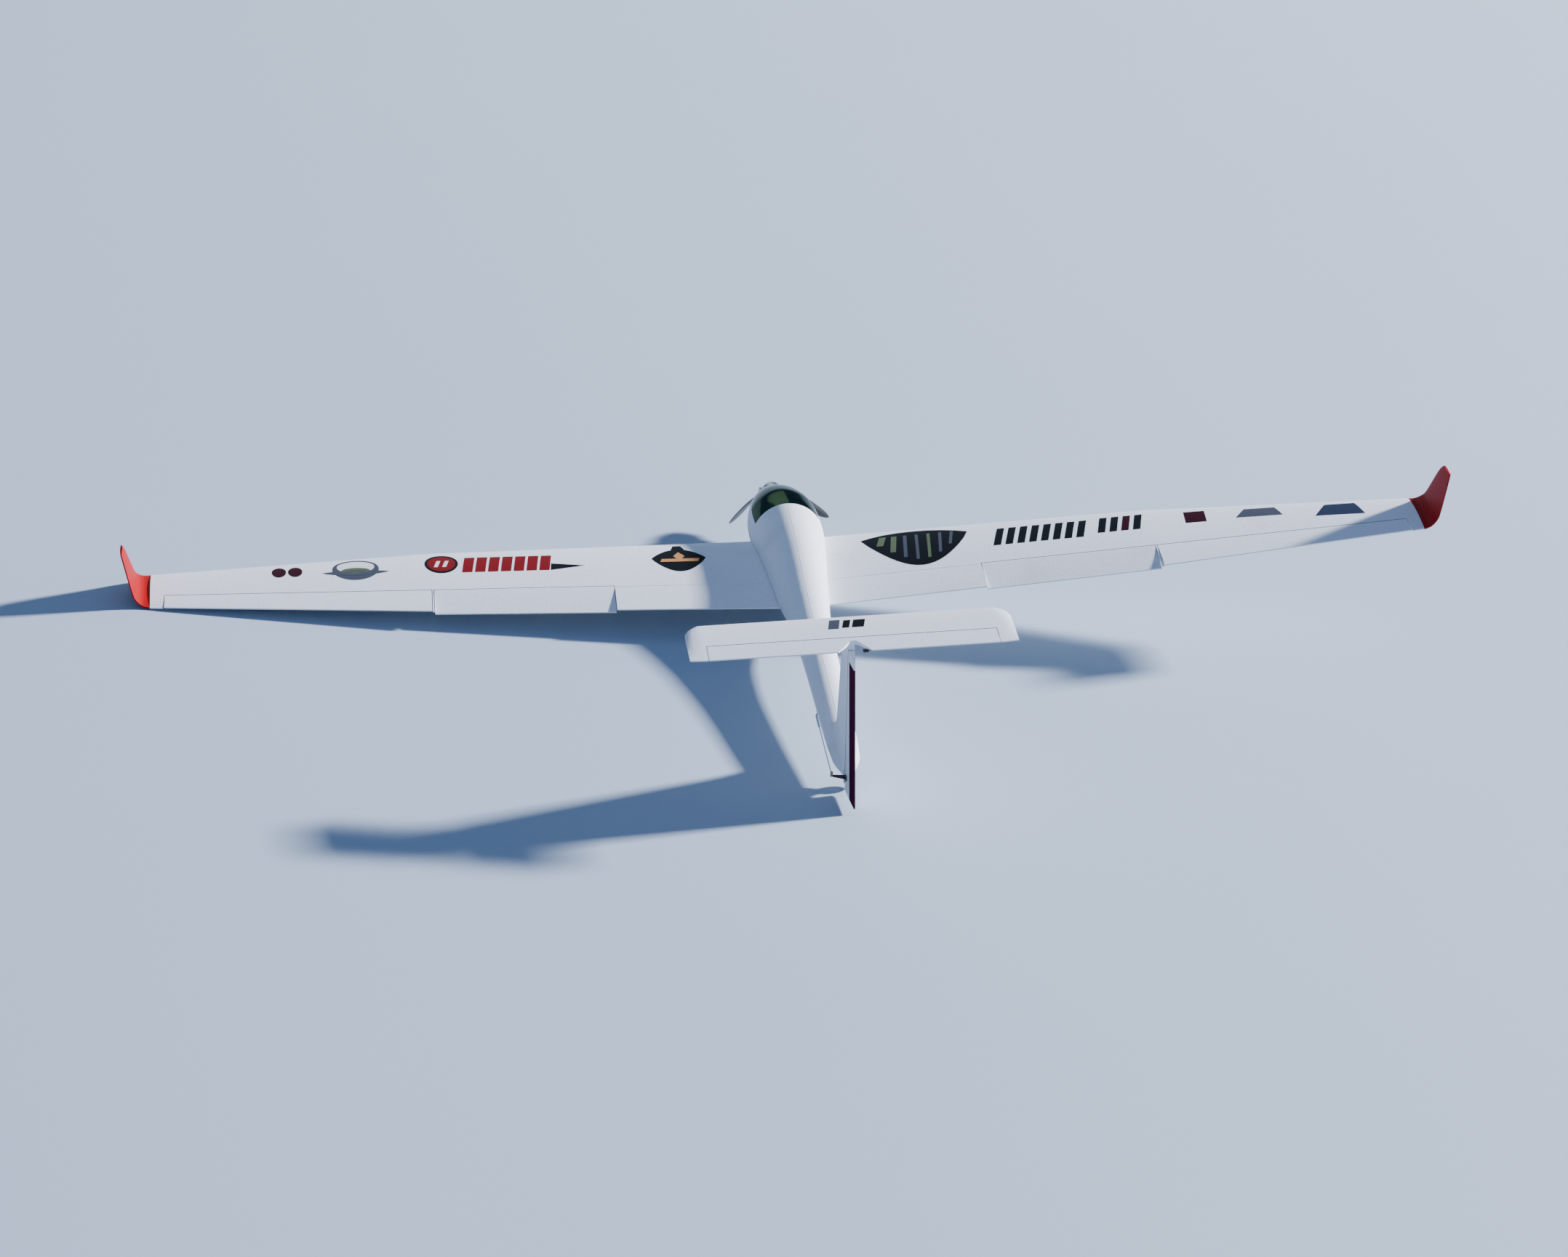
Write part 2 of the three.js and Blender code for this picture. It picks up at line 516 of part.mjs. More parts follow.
/** A servo let into the wing's lower skin, its arm, its rod and the horn on the surface it moves. */
function wingLinkage({ x, ahead }) {
  const axisY = wingHinge(x).point.y;
  const middle = axisY + ahead;
  const skinZ = lowerSkin(x, middle);
  const low = [x - SERVO.width / 2, middle - SERVO.length / 2, skinZ - SERVO.proud];
  const high = [x + SERVO.width / 2, middle + SERVO.length / 2, skinZ - SERVO.proud + SERVO.height];
  const armX = x + SERVO.width / 2 - SERVO.armThick;
  const armEnd = vec(armX + SERVO.armThick / 2, middle - SERVO.length / 4, low[2] - SERVO.arm);
  const arm = block(
    [armX, armEnd.y - SERVO.armWidth / 2, armEnd.z - SERVO.armWidth / 2],
    [armX + SERVO.armThick, armEnd.y + SERVO.armWidth / 2, low[2] + 1]);
  const hornSkin = lowerSkin(x, axisY - HORN.base / 2) - SEAT;
  const hornX = armX;
  const hornTip = vec(hornX + HORN.thick / 2, axisY, hornSkin - HORN.reach);
  const hornShape = new THREE.Shape([
    new THREE.Vector2(axisY + HORN.nose, hornTip.z - HORN.nose),
    new THREE.Vector2(axisY - HORN.nose, hornTip.z - HORN.nose),
    new THREE.Vector2(axisY - HORN.base, hornSkin),
    new THREE.Vector2(axisY - HORN.heel, hornSkin),
  ]);
  // The shape's plane is turned so that its first axis is y and its second z.
  const turned = new THREE.Matrix4().makeBasis(vec(0, 1, 0), UP, RIGHT).setPosition(hornX, 0, 0);
  const horn = new THREE.ExtrudeGeometry(hornShape, { depth: HORN.thick, bevelEnabled: false })
    .applyMatrix4(turned);
  const beside = (p) => p.clone().add(vec(HORN.thick / 2 + ROD_ABREAST + ROD, 0, 0));
  return {
    pocket: pocket(low, high),
    servo: solid(block(low, high)).add(solid(arm)),
    rod: rod(beside(armEnd), beside(hornTip), ROD, ROD, 8),
    horn: solid(horn),
  };
}

const linkages = WING_SERVOS.map((place) => ({ surface: place.surface, ...wingLinkage(place) }));
const wingRight = linkages.reduce((body, { pocket: cut }) => body.subtract(cut), aileronSplit.fixed);
const wingletRight = loft(WINGLET.map(({ x, z, lead, trail, thickness, lean }) => {
  const tipZ = WING.at(-1).x * DIHEDRAL + z;
  const angle = THREE.MathUtils.degToRad(lean);
  return aerofoil({
    lead: vec(x, lead, tipZ), trail: vec(x, trail, tipZ),
    normal: vec(-Math.sin(angle), 0, Math.cos(angle)), thickness, camber: 0,
  });
}));

const across = new THREE.Vector3(-1, 1, 1);
for (const side of ['right', 'left']) {
  const onSide = (shape) => {
    const geometry = shape instanceof THREE.BufferGeometry ? shape.clone() : geometryOf(shape);
    return side === 'right' ? geometry : mirrored(geometry);
  };
  add(airframe, `wing_${side}`, onSide(wingRight), FOAM);
  add(airframe, `winglet_${side}`, onSide(wingletRight), RED_FOAM);
  for (const { surface, servo, rod: link, horn } of linkages) {
    const split = surface === 'flap' ? flapSplit : aileronSplit;
    const trim = surface === 'flap' ? FLAP.droop : AILERON.droop;
    const at = split.at.clone();
    // Turning about +x lowers a trailing edge, on either side.
    const axis = split.axis.clone();
    if (side === 'left') {
      at.multiply(across);
      axis.multiply(across).negate();
    }
    pivot(`${surface}_${side}`, at, axis, trim, [
      [`${surface}_${side}`, onSide(split.surface), FOAM],
      [`${surface}_horn_${side}`, onSide(horn), BLACK_PLASTIC],
    ]);
    add(airframe, `${surface}_servo_${side}`, onSide(servo), DARK_SERVO);
    add(airframe, `${surface}_rod_${side}`, onSide(link), STEEL);
  }
}

// Tailplane, elevator and rudder. Towards a tip the leading edge sweeps back and the section thins.
function tailSection(side, t) {
  const drop = 1 - Math.sqrt(1 - t * t);
  const x = side * (TAILPLANE.half + (TAIL_TIP.half - TAILPLANE.half) * t);
  const lead = TAILPLANE.lead - TAIL_TIP.sweep * (0.45 * t + 0.55 * drop);
  const trail = TAILPLANE.trail + TAIL_TIP.trailIn * t;
  const thickness = TAILPLANE.thickness * (1 - TAIL_TIP.thinning * drop);
  return { x, lead: vec(x, lead, TAILPLANE.z), trail: vec(x, trail, TAILPLANE.z), normal: UP, thickness };
}
const tailSections = [
  ...TAIL_TIP_STEPS.map((t) => tailSection(-1, t)).reverse(),
  ...TAIL_TIP_STEPS.map((t) => tailSection(1, t)),
];
const elevatorHinge = (x) => spanPoint(tailSections, 'x', x, TAIL_HINGE);
const elevatorSplit = hinge(
  solid(loft(tailSections.map(aerofoil))), elevatorHinge(-ELEVATOR.half), elevatorHinge(ELEVATOR.half));
const pastNotch = 20;
const notchRing = (z) => [
  vec(-ELEVATOR.notchHalf, TAILPLANE.trail, z), vec(-ELEVATOR.notchHalf, TAILPLANE.trail - pastNotch, z),
  vec(ELEVATOR.notchHalf, TAILPLANE.trail - pastNotch, z), vec(ELEVATOR.notchHalf, TAILPLANE.trail, z),
  vec(ELEVATOR.notchFlat, ELEVATOR.notchFront, z), vec(-ELEVATOR.notchFlat, ELEVATOR.notchFront, z)];
const notch = solid(loft([notchRing(TAILPLANE.z - pastNotch), notchRing(TAILPLANE.z + pastNotch)]));
add(airframe, 'tailplane', elevatorSplit.fixed, FOAM);

/** A flat horn: a triangle in a plane, from its foot on a surface to its tip. */
function plate(corners, thick, direction) {
  const moved = corners.map((p) => p.clone().addScaledVector(direction, thick));
  return loft([corners, moved]);
}
const elevatorAxisY = elevatorHinge(0).point.y;
const elevatorUnder = TAILPLANE.z - elevatorHinge(0).half - SEAT;
const elevatorHorn = plate([
  vec(ELEVATOR_HORN.x, elevatorAxisY + HORN.nose, elevatorUnder - ELEVATOR_HORN.reach),
  vec(ELEVATOR_HORN.x, elevatorAxisY - HORN.nose, elevatorUnder - ELEVATOR_HORN.reach),
  vec(ELEVATOR_HORN.x, elevatorAxisY - HORN.base, elevatorUnder),
  vec(ELEVATOR_HORN.x, elevatorAxisY - HORN.heel, elevatorUnder),
], HORN.thick, RIGHT);
pivot('elevator', elevatorSplit.at, elevatorSplit.axis, 0, [
  ['elevator', elevatorSplit.surface.subtract(notch), FOAM],
  ['elevator_horn', elevatorHorn, BLACK_PLASTIC],
]);

const rudderAt = finHinge(TAIL_ROD.z);
const rudderSide = -(rudderAt.half + SEAT);
const rudderHornZ = TAIL_ROD.z - ROD - ROD_ABREAST - HORN.thick;
const rudderHorn = plate([
  vec(rudderSide, rudderAt.point.y + HORN.nose, rudderHornZ),
  vec(rudderSide, rudderAt.point.y - HORN.base, rudderHornZ),
  vec(TAIL_ROD.x - HORN.nose, rudderAt.point.y - HORN.nose, rudderHornZ),
  vec(TAIL_ROD.x - HORN.nose, rudderAt.point.y + HORN.nose, rudderHornZ),
], HORN.thick, UP);
pivot('rudder', rudderSplit.at, rudderSplit.axis, 0, [
  ['rudder', rudderSplit.surface, FOAM],
  ['rudder_horn', rudderHorn, BLACK_PLASTIC],
]);
const tailRod = (y) => vec(TAIL_ROD.x, y, TAIL_ROD.z);
add(airframe, 'rudder_rod', rod(tailRod(rudderAt.point.y), tailRod(TAIL_ROD.front), ROD, ROD, 8), STEEL);
const guideRear = ROD_GUIDE.front - ROD_GUIDE.length;
const guideEnds = [tailRod(ROD_GUIDE.front), tailRod(guideRear)];
const guideHole = [tailRod(ROD_GUIDE.front - ROD_GUIDE.cap), tailRod(guideRear - 5)];
add(airframe, 'rudder_rod_guide', solid(rod(...guideEnds, ROD_GUIDE.radius, ROD_GUIDE.radius, 12))
  .subtract(solid(rod(...guideHole, ROD_GUIDE.bore, ROD_GUIDE.bore, 12))), WHITE_NYLON);

// Elevator servo: let into the fin's right side, its arm outside, its rod up to the horn.
const finArmX = finServoHigh[0];
const finArmY = finServoHigh[1] - FIN_SERVO.armIn - SERVO.armWidth / 2;
const finArm = block(
  [finArmX - 1, finArmY - SERVO.armWidth / 2, FIN_SERVO.z - SERVO.armWidth / 2],
  [finArmX + SERVO.armThick, finArmY + SERVO.armWidth / 2, FIN_SERVO.z + SERVO.arm]);
add(airframe, 'elevator_servo', solid(block(finServoLow, finServoHigh)).add(solid(finArm)), DARK_SERVO);
const besideArm = SERVO.armThick + ROD_ABREAST + ROD;
add(airframe, 'elevator_rod', rod(
  vec(finArmX + besideArm, finArmY, FIN_SERVO.z + SERVO.arm - FIN_SERVO.rodIn),
  vec(ELEVATOR_HORN.x - ROD_ABREAST - ROD, elevatorAxisY,
    elevatorUnder - ELEVATOR_HORN.reach + HORN.nose),
  ROD, ROD, 8), STEEL);

// Wheels.
/** A wheel about x: hub and round tyre, bored for its axle. */
function wheelProfile({ radius, tyre, hubHalf, pinHole }) {
  const rim = radius - HUB_REACH * tyre;
  const points = [[pinHole, -hubHalf], [rim, -hubHalf]];
  const steps = 10;
  const start = THREE.MathUtils.degToRad(-TYRE_WRAP);
  for (let i = 0; i <= steps; i++) {
    const angle = start + (i / steps) * -2 * start;
    points.push([radius - tyre + tyre * Math.cos(angle), tyre * Math.sin(angle)]);
  }
  points.push([rim, hubHalf], [pinHole, hubHalf], [pinHole, -hubHalf]);
  return points.map(([r, h]) => new THREE.Vector2(r, h));
}
const turnedAboutX = (wheel, sides) => new THREE.LatheGeometry(wheelProfile(wheel), sides)
  .rotateZ(-Math.PI / 2).translate(0, wheel.y, wheel.z);
const mainWheel = pivot('main_wheel', vec(0, MAIN_WHEEL.y, MAIN_WHEEL.z), RIGHT, 0, [
  ['main_wheel', turnedAboutX(MAIN_WHEEL, 40), TYRE]]);
const tailWheel = pivot('tail_wheel', vec(0, TAIL_WHEEL.y, TAIL_WHEEL.z), RIGHT, 0, [
  ['tail_wheel', turnedAboutX(TAIL_WHEEL, 28), TYRE]]);

const boxOuter = block(
  [-WHEEL_BOX.half, WHEEL_BOX.rear, -100], [WHEEL_BOX.half, WHEEL_BOX.front, WHEEL_BOX.roof]);
const boxInner = block(
  [-WHEEL_BOX.half + WHEEL_BOX.wall, WHEEL_BOX.rear + WHEEL_BOX.wall, -110],
  [WHEEL_BOX.half - WHEEL_BOX.wall, WHEEL_BOX.front - WHEEL_BOX.wall, WHEEL_BOX.roof - WHEEL_BOX.wall]);
const axleHalf = WHEEL_BOX.half - WHEEL_BOX.wall / 4;
const mainAxle = rod(
  vec(-axleHalf, MAIN_WHEEL.y, MAIN_WHEEL.z), vec(axleHalf, MAIN_WHEEL.y, MAIN_WHEEL.z),
  MAIN_WHEEL.pin, MAIN_WHEEL.pin, 16);
const wheelBox = solid(boxOuter).intersect(skin).subtract(solid(boxInner)).add(solid(mainAxle));
add(airframe, 'wheel_box', wheelBox, BLACK_PLASTIC);

// Tail wheel bracket: a foot under the boom, two cheeks and the axle between them.
const cheekX = TAIL_WHEEL.hubHalf + BRACKET.cheekGap;
const boomLow = columnAt(FUSELAGE, 'low', TAIL_WHEEL.y);
const footLow = boomLow - BRACKET.footDeep;
const footHalf = cheekX + BRACKET.footWide;
const cheeks = [-1, 1].map((side) => plate([
  vec(side * cheekX, TAIL_WHEEL.y - BRACKET.cheekHalf, TAIL_WHEEL.z - BRACKET.cheekDrop),
  vec(side * cheekX, TAIL_WHEEL.y + BRACKET.cheekHalf, TAIL_WHEEL.z - BRACKET.cheekDrop),
  vec(side * cheekX, TAIL_WHEEL.y + BRACKET.footAhead, footLow + 1),
  vec(side * cheekX, TAIL_WHEEL.y - BRACKET.footBehind, footLow + 1),
], BRACKET.cheek, vec(side, 0, 0)));
const tailAxle = rod(
  vec(-cheekX - 1, TAIL_WHEEL.y, TAIL_WHEEL.z), vec(cheekX + 1, TAIL_WHEEL.y, TAIL_WHEEL.z),
  TAIL_WHEEL.pin, TAIL_WHEEL.pin, 12);
const foot = solid(block(
  [-footHalf, TAIL_WHEEL.y - BRACKET.footBehind, footLow],
  [footHalf, TAIL_WHEEL.y + BRACKET.footAhead, boomLow + 4])).subtract(solid(fuselageSkin(-SEAT)));
const bracket = [...cheeks, tailAxle].reduce((body, piece) => body.add(solid(piece)), foot);
add(airframe, 'tail_wheel_bracket', bracket, BLACK_PLASTIC);

/** The lowest corner of a mesh as the airframe now stands. */
function lowestPoint(mesh) {
  const { position } = mesh.geometry.attributes;
  let lowest = null;
  for (let i = 0; i < position.count; i++) {
    const corner = new THREE.Vector3().fromBufferAttribute(position, i).applyMatrix4(mesh.matrixWorld);
    if (!lowest || corner.z < lowest.z) lowest = corner;
  }
  return lowest;
}

// Set down: turned until the main wheel, the tail wheel and the left wing tip touch one floor,
// then moved so that the floor is z = 0 and the datum is under the middle of the whole.
const SETTLING_PASSES = 6;
const supports = [mainWheel.children[0], tailWheel.children[0], airframe.getObjectByName('wing_left')];
for (let pass = 0; pass < SETTLING_PASSES; pass++) {
  glider.updateMatrixWorld(true);
  const [wheel, tail, tip] = supports.map(lowestPoint);
  const floor = tip.sub(tail).cross(wheel.sub(tail)).normalize();
  if (floor.z < 0) floor.negate();
  airframe.quaternion.premultiply(new THREE.Quaternion().setFromUnitVectors(floor, UP));
  const nose = vec(0, 1, 0).applyQuaternion(airframe.quaternion);
  airframe.quaternion.premultiply(new THREE.Quaternion().setFromAxisAngle(UP, Math.atan2(nose.x, nose.y)));
}
glider.updateMatrixWorld(true);
const extent = new THREE.Box3().setFromObject(airframe, true);
airframe.position.sub(extent.getCenter(new THREE.Vector3()).setZ(extent.min.z));

export default glider;
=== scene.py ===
"""Looks of a radio-controlled foam sailplane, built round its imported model.

Places are in the airframe's own level millimetres: x to the right, y towards the nose, z up, with
the datum on the centreline at the trailing edge of the wing root. AIRFRAME turns them into the
metres of the frame in which the sailplane rests on its main wheel, tail wheel and left wing tip.
"""
import json
import math
from functools import cache, partial

import bpy
import numpy as np
from bpy.props import BoolProperty, FloatProperty, FloatVectorProperty, IntProperty, PointerProperty
from mathutils import Matrix, Quaternion, Vector
from mathutils.geometry import delaunay_2d_cdt

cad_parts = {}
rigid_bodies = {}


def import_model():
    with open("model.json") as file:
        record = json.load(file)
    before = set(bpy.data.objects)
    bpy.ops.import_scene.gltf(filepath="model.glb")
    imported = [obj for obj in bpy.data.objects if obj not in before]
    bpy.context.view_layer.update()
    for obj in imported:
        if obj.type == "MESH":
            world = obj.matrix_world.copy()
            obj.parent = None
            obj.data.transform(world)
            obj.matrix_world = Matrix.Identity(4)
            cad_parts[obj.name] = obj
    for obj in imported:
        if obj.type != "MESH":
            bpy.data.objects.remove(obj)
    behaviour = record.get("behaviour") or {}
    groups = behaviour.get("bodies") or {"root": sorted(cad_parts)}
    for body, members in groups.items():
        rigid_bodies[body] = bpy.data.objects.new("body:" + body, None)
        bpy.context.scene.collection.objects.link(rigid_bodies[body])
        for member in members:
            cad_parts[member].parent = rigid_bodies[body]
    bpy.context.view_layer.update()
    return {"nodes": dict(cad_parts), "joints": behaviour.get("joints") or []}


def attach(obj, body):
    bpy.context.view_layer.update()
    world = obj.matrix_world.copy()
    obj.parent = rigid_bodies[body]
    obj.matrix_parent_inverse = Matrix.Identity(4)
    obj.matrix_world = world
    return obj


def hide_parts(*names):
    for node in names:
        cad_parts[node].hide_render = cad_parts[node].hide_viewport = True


bl_info = {
    "name": "Foam sailplane",
    "version": (1, 0, 0),
    "blender": (4, 5, 0),
    "location": "3D View > Sidebar > Sailplane",
    "description": "Builds the smooth foam skins, canopy, linkages and trim of a foam sailplane",
    "category": "Object",
}

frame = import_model()
JOINTS = {joint["name"]: joint for joint in frame["joints"]}

# Level airframe millimetres to the metres of the row frame.
UP_AXIS = Vector(JOINTS["canopy_lift"]["axis"])
NOSE_AXIS = Vector(JOINTS["prop_spin"]["axis"])
TURN = Matrix((NOSE_AXIS.cross(UP_AXIS), NOSE_AXIS, UP_AXIS)).transposed()
HUB = Vector((0, 395, -12))
DATUM = Vector(JOINTS["prop_spin"]["pos_m"]) - TURN @ (HUB * 0.001)
AIRFRAME = Matrix.Translation(DATUM) @ TURN.to_4x4() @ Matrix.Scale(0.001, 4)

RIGHT, NOSEWARD, UP = Vector((1, 0, 0)), Vector((0, 1, 0)), Vector((0, 0, 1))
# Gap between seated pieces, and the angle in degrees from which an edge stays sharp.
SEAT, SHARP = 0.3, 32

# Fuselage ellipses from the nose to the stern: y, half width, underside, crown.
FUSELAGE = (
    (385, 18.5, -30.5, 6.5),
    (350, 36, -42, 26),
    (300, 50, -51, 51),
    (250, 57, -55, 68),
    (200, 58, -54, 74),
    (120, 52, -47, 70),
    (50, 44, -35, 60),
    (0, 39, -26, 52),
    (-80, 31, -13, 43),
    (-200, 26.5, -7, 35),
    (-380, 23.5, -5, 29),
    (-445, 20, -5, 26),
    (-470.3, 9, -8, 23),
)
UNDERSIDE, CROWN = 2, 3
# Glued seams of the half shells: which column they follow, how far they are sunk, from and to.
SEAMS = ((CROWN, -0.35, 194, -352), (UNDERSIDE, 0.35, 384, 234), (UNDERSIDE, 0.35, 176, -440))
SEAM_RADIUS = 0.55
MOTOR_BORE, MOTOR_BORE_DEPTH = 15.5, 34
CANOPY_REAR, CANOPY_SILL, SILL_SLOPE, CANOPY_WALL, TRAY_THICK = 200, 40, -0.12, 3, 4
BAY_HALF, BAY_REAR, BAY_FRONT, BAY_FLOOR, BAY_TOP, BAY_CORNER = 27, 212, 328, -16, 100, 6
BATTERY = {"half": 17, "rear": 215.5, "front": 320.5, "height": 24, "corner": 2.6}
STRAP_REAR, STRAP_WIDE, STRAP_INNER, STRAP_OUTER = 254, 22, 0.2, 1
RAIL_X, RAIL_HALF, RAIL_TALL = 22.2, 3.4, 4

# Lifting surfaces: place along the span, lead, trail and thickness as a share of the chord.
WING_DIHEDRAL = 0.045
WING = ((20, 207, 0, 0.108), (570, 190, 14, 0.1), (1000, 145, 46, 0.09))
WING_CAMBER = 0.026
WING_HINGE, FIN_HINGE, TAIL_HINGE = 0.72, 0.68, 0.667
# Flap and aileron: inner end, outer end, droop at rest in degrees.
FLAP, AILERON = (290, 568, 5), (572, 978, -2)
CREASE_FROM, CREASE_RADIUS, CREASE_RISE = 30, 0.6, 0.2
VENT_SPACING, VENT_END, VENT_SHARES = 96, 960, (0.2, 0.6)
# Winglet stations: x, height over the tip, lead, trail, thickness, lean in degrees.
WINGLET = (
    (1000.3, 0, 145, 46, 0.09, 3),
    (1012, 3.5, 140, 48, 0.085, 30),
    (1021, 13, 133, 50, 0.08, 62),
    (1025, 26, 125, 51, 0.08, 78),
    (1033, 74, 102, 54, 0.08, 80),
    (1036, 90, 88, 57, 0.09, 80),
)
FIN = ((-22, -366, -530, 0.115), (231, -418, -505, 0.13))
# The fin's foot flares into the boom's crown: height, lead moved forward, thickness added.
FIN_FLARE = (
    (-22, 0, 0),
    (8, 9, 0.05),
    (24, 8, 0.045),
    (28, 6.5, 0.034),
    (32, 4.5, 0.022),
    (37, 2.5, 0.011),
    (44, 1, 0.004),
    (54, 0, 0),
    (231, 0, 0),
)
FIN_FOOT, RUDDER_FROM, RUDDER_TO = 8, -20, 214
TAIL_Z, TAIL_LEAD, TAIL_TRAIL, TAIL_THICK = 236, -422, -515, 0.1
TAIL_HALF, TAIL_TIP, TIP_LEAD, TIP_TRAIL = 212, 232, -444, -513
ELEVATOR_HALF, NOTCH_HALF, NOTCH_FRONT, NOTCH_FLAT = 205, 24, -491, 4
TRAILING_HALF, END_GAP = 0.9, 1.2
TAPE_WRAP, TAPE_FOOT, TAPE_HEAD, TAPE_THICK = 24, 0.4, 14, 0.15

# Blade stations: radius, chord, pitch in degrees, thickness as a share of the chord.
BLADE = (
    (20, 8, 38, 0.42),
    (27, 8.5, 36, 0.42),
    (42, 17, 30, 0.17),
    (75, 20, 20, 0.12),
    (110, 15, 14, 0.11),
    (133, 6, 11, 0.12),
)
BLADE_PIVOT, BLADE_FOLD, BLADE_TIP = 17, 56, 9
BOSS_RADIUS, BOSS_HALF, BOSS_BORE, PIN_HALF = 4.5, 3.5, 1.8, 6.3
SPINNER_RADIUS, SPINNER_BACK, SPINNER_LENGTH, SPINNER_PLATE = 18.5, 386.5, 31, 2
SPINNER_SLOT, SLOT_FRONT, SPINNER_CORE, SHAFT_BORE = 7.6, 402, 8, 2.3
MOTOR_RADIUS, MOTOR_BACK, MOTOR_LENGTH = 14, 351.3, 30

MAIN_WHEEL = {"y": 205, "z": -48, "radius": 24, "tyre": 8, "hub_half": 6.5, "bore": 1.8}
TAIL_WHEEL = {"y": -456, "z": -20.5, "radius": 10.5, "tyre": 2.6, "hub_half": 2.2, "bore": 1.3}
MAIN_AXLE, TAIL_AXLE, COLLAR_X = 1.5, 1, 7.2
WHEEL_BOX = {"half": 12, "wall": 2, "rear": 178, "front": 232, "roof": -22}
BRACKET = {"gap": 0.8, "cheek": 1.6, "round": 3.4, "ahead": 15, "behind": 8, "wide": 4, "deep": 2.5}

SERVO_LENGTH, SERVO_WIDTH, SERVO_HEIGHT, SERVO_PROUD, SERVO_ARM = 23, 12, 9, 1.5, 12
PLATE_THICK, HORN_REACH, HORN_BASE, HORN_HEEL, HORN_TIP, HORN_BORE = 1.6, 13, 12, 5, 1.9, 0.7
# A horn's foot beside its plate, its screws' middle and half spacing, and the foot's thickness.
FOOT_NEAR, FOOT_FAR, FOOT_MIDDLE, SCREW_HALF, FOOT_THICK = -3.2, 4.8, 0.8, 2.7, 0.9
ROD_RADIUS, ROD_ABREAST = 0.75, 0.4
# Wing servos: their surface, place along the span, and how far they are ahead of its hinge.
WING_SERVOS = (("flap", 430, 48, FLAP), ("aileron", 775, 40, AILERON))
FIN_SERVO_LEFT, FIN_SERVO_Y, FIN_SERVO_Z = -1.5, -442, 196
ELEVATOR_HORN_X, ELEVATOR_HORN_REACH = 24, 15
RUDDER_ROD_X, RUDDER_ROD_Z, RUDDER_ROD_FRONT = -25.8, 7, -322
ROD_GUIDE_FRONT, ROD_GUIDE_LENGTH, ROD_GUIDE_RADIUS, ROD_GUIDE_BORE = -318, 32, 1.7, 1.15
# Middle lines, in plan, of the tape over the servo leads under the wing.
LEAD_TAPES = ([(70, 121), (423, 109)], [(70, 136), (470, 131), (768, 108.5)])
LEAD_TAPE_HALF, LEAD_TAPE_THICK = 5, 0.15
FILM_LAYER, FILM_SUNK = 0.08, 0.06

# The stage, in metres of the row frame. Softboxes: name, place, width, watts, tint.
LAMPS = (
    ("key", (25.5, 6.4, 12.0), 2.0, 36000, "F0F3FF"),
    ("fill", (-3.5, -4.5, 3.5), 3.0, 20, "CADCFF"),
    ("overhead", (0.0, 1.5, 4.5), 3.5, 12, "E4EDFF"),
    ("ahead", (-0.6, 7.0, 2.7), 3.0, 38, "CFE0B8"),
)
LAMP_AIM, FLOOR_HALF, AIR_TINT, AIR_STRENGTH = (0, 0, 0.1), 40, "86AEF2", 0.46
EYE_PLACE, EYE_AIM, EYE_ROLL = (-0.949, -4.789, 2.524), (-0.0245, 0, 0.0524), 6.55
EYE_LENS, EYE_SENSOR = 81.7, 36


def srgb(code):
    """An sRGB hex colour as the linear values that Blender works in."""
    parts = [int(code[i : i + 2], 16) / 255 for i in (0, 2, 4)]
    return tuple(c / 12.92 if c <= 0.04045 else ((c + 0.055) / 1.055) ** 2.4 for c in parts)


class SailplaneFinish(bpy.types.PropertyGroup):
    """Colours of the foam, the canopy and the trim."""

    def colour(label, words, code):
        return FloatVectorProperty(
            name=label, description=words, subtype="COLOR", size=3, min=0, max=1, default=srgb(code)
        )

    foam: colour("Foam", "Bare white foam", "F2F3F4")
    winglet: colour("Winglets", "Red moulded foam", "9E0409")
    canopy: colour("Canopy", "Mirror tint of the canopy", "4C5D50")
    dark: colour("Dark stickers", "Near-black sticker ink", "17191C")
    navy: colour("Navy stickers", "Slate-blue sticker ink", "2E374A")
    grey: colour("Grey stickers", "Grey sticker ink", "484C56")
    red: colour("Red stickers", "Dark red sticker ink", "7A1A20")
    olive: colour("Olive stripes", "Olive stripes of the lens sticker", "56634A")
    tan: colour("Tan stripes", "Orange-tan part of the root sticker", "C58A55")
    maroon: colour("Rudder strip", "Tape on the rudder's trailing edge", "4C1C34")
    battery: colour("Battery", "Shrink wrap of the battery", "22407A")
    floor: colour("Floor", "Pale studio floor", "AEBBC8")


class SailplaneSizes(bpy.types.PropertyGroup):
    """Sizes of the foam's skin, its hinge grooves and its trim."""

    bead: FloatProperty(
        name="Bead", description="Width of one foam bead", default=0.004, min=0.001, unit="LENGTH"
    )
    bead_depth: FloatProperty(
        name="Bead depth",
        description="Depth of the creases between beads",
        default=0.0001,
        min=0,
        precision=5,
        unit="LENGTH",
    )
    groove: FloatProperty(
        name="Hinge groove",
        description="Gap between a control surface's round nose and its bay, in millimetres",
        default=0.7,
        min=0.3,
        max=1,
    )
    sticker: FloatProperty(
        name="Sticker",
        description="How far a sticker stands off the foam, in millimetres",
        default=0.16,
        min=0.05,
    )
    chord_points: IntProperty(
        name="Section points", description="Points round one section", default=65, min=21
    )
    vents: BoolProperty(
        name="Vent marks", description="Show the steam vent marks of the mould", default=True
    )


def node(tree, kind, inputs=None, out=0, to=None, **settings):
    """Adds one node with its settings and links, and returns one output, linked on if asked."""
    made = tree.nodes.new(kind)
    for name, value in settings.items():
        setattr(made, name, value)
    for key, value in (inputs or {}).items():
        if isinstance(value, bpy.types.NodeSocket):
            tree.links.new(value, made.inputs[key])
        else:
            made.inputs[key].default_value = value
    if to is not None:
        tree.links.new(made.outputs[out], to)
    return made.outputs[out]


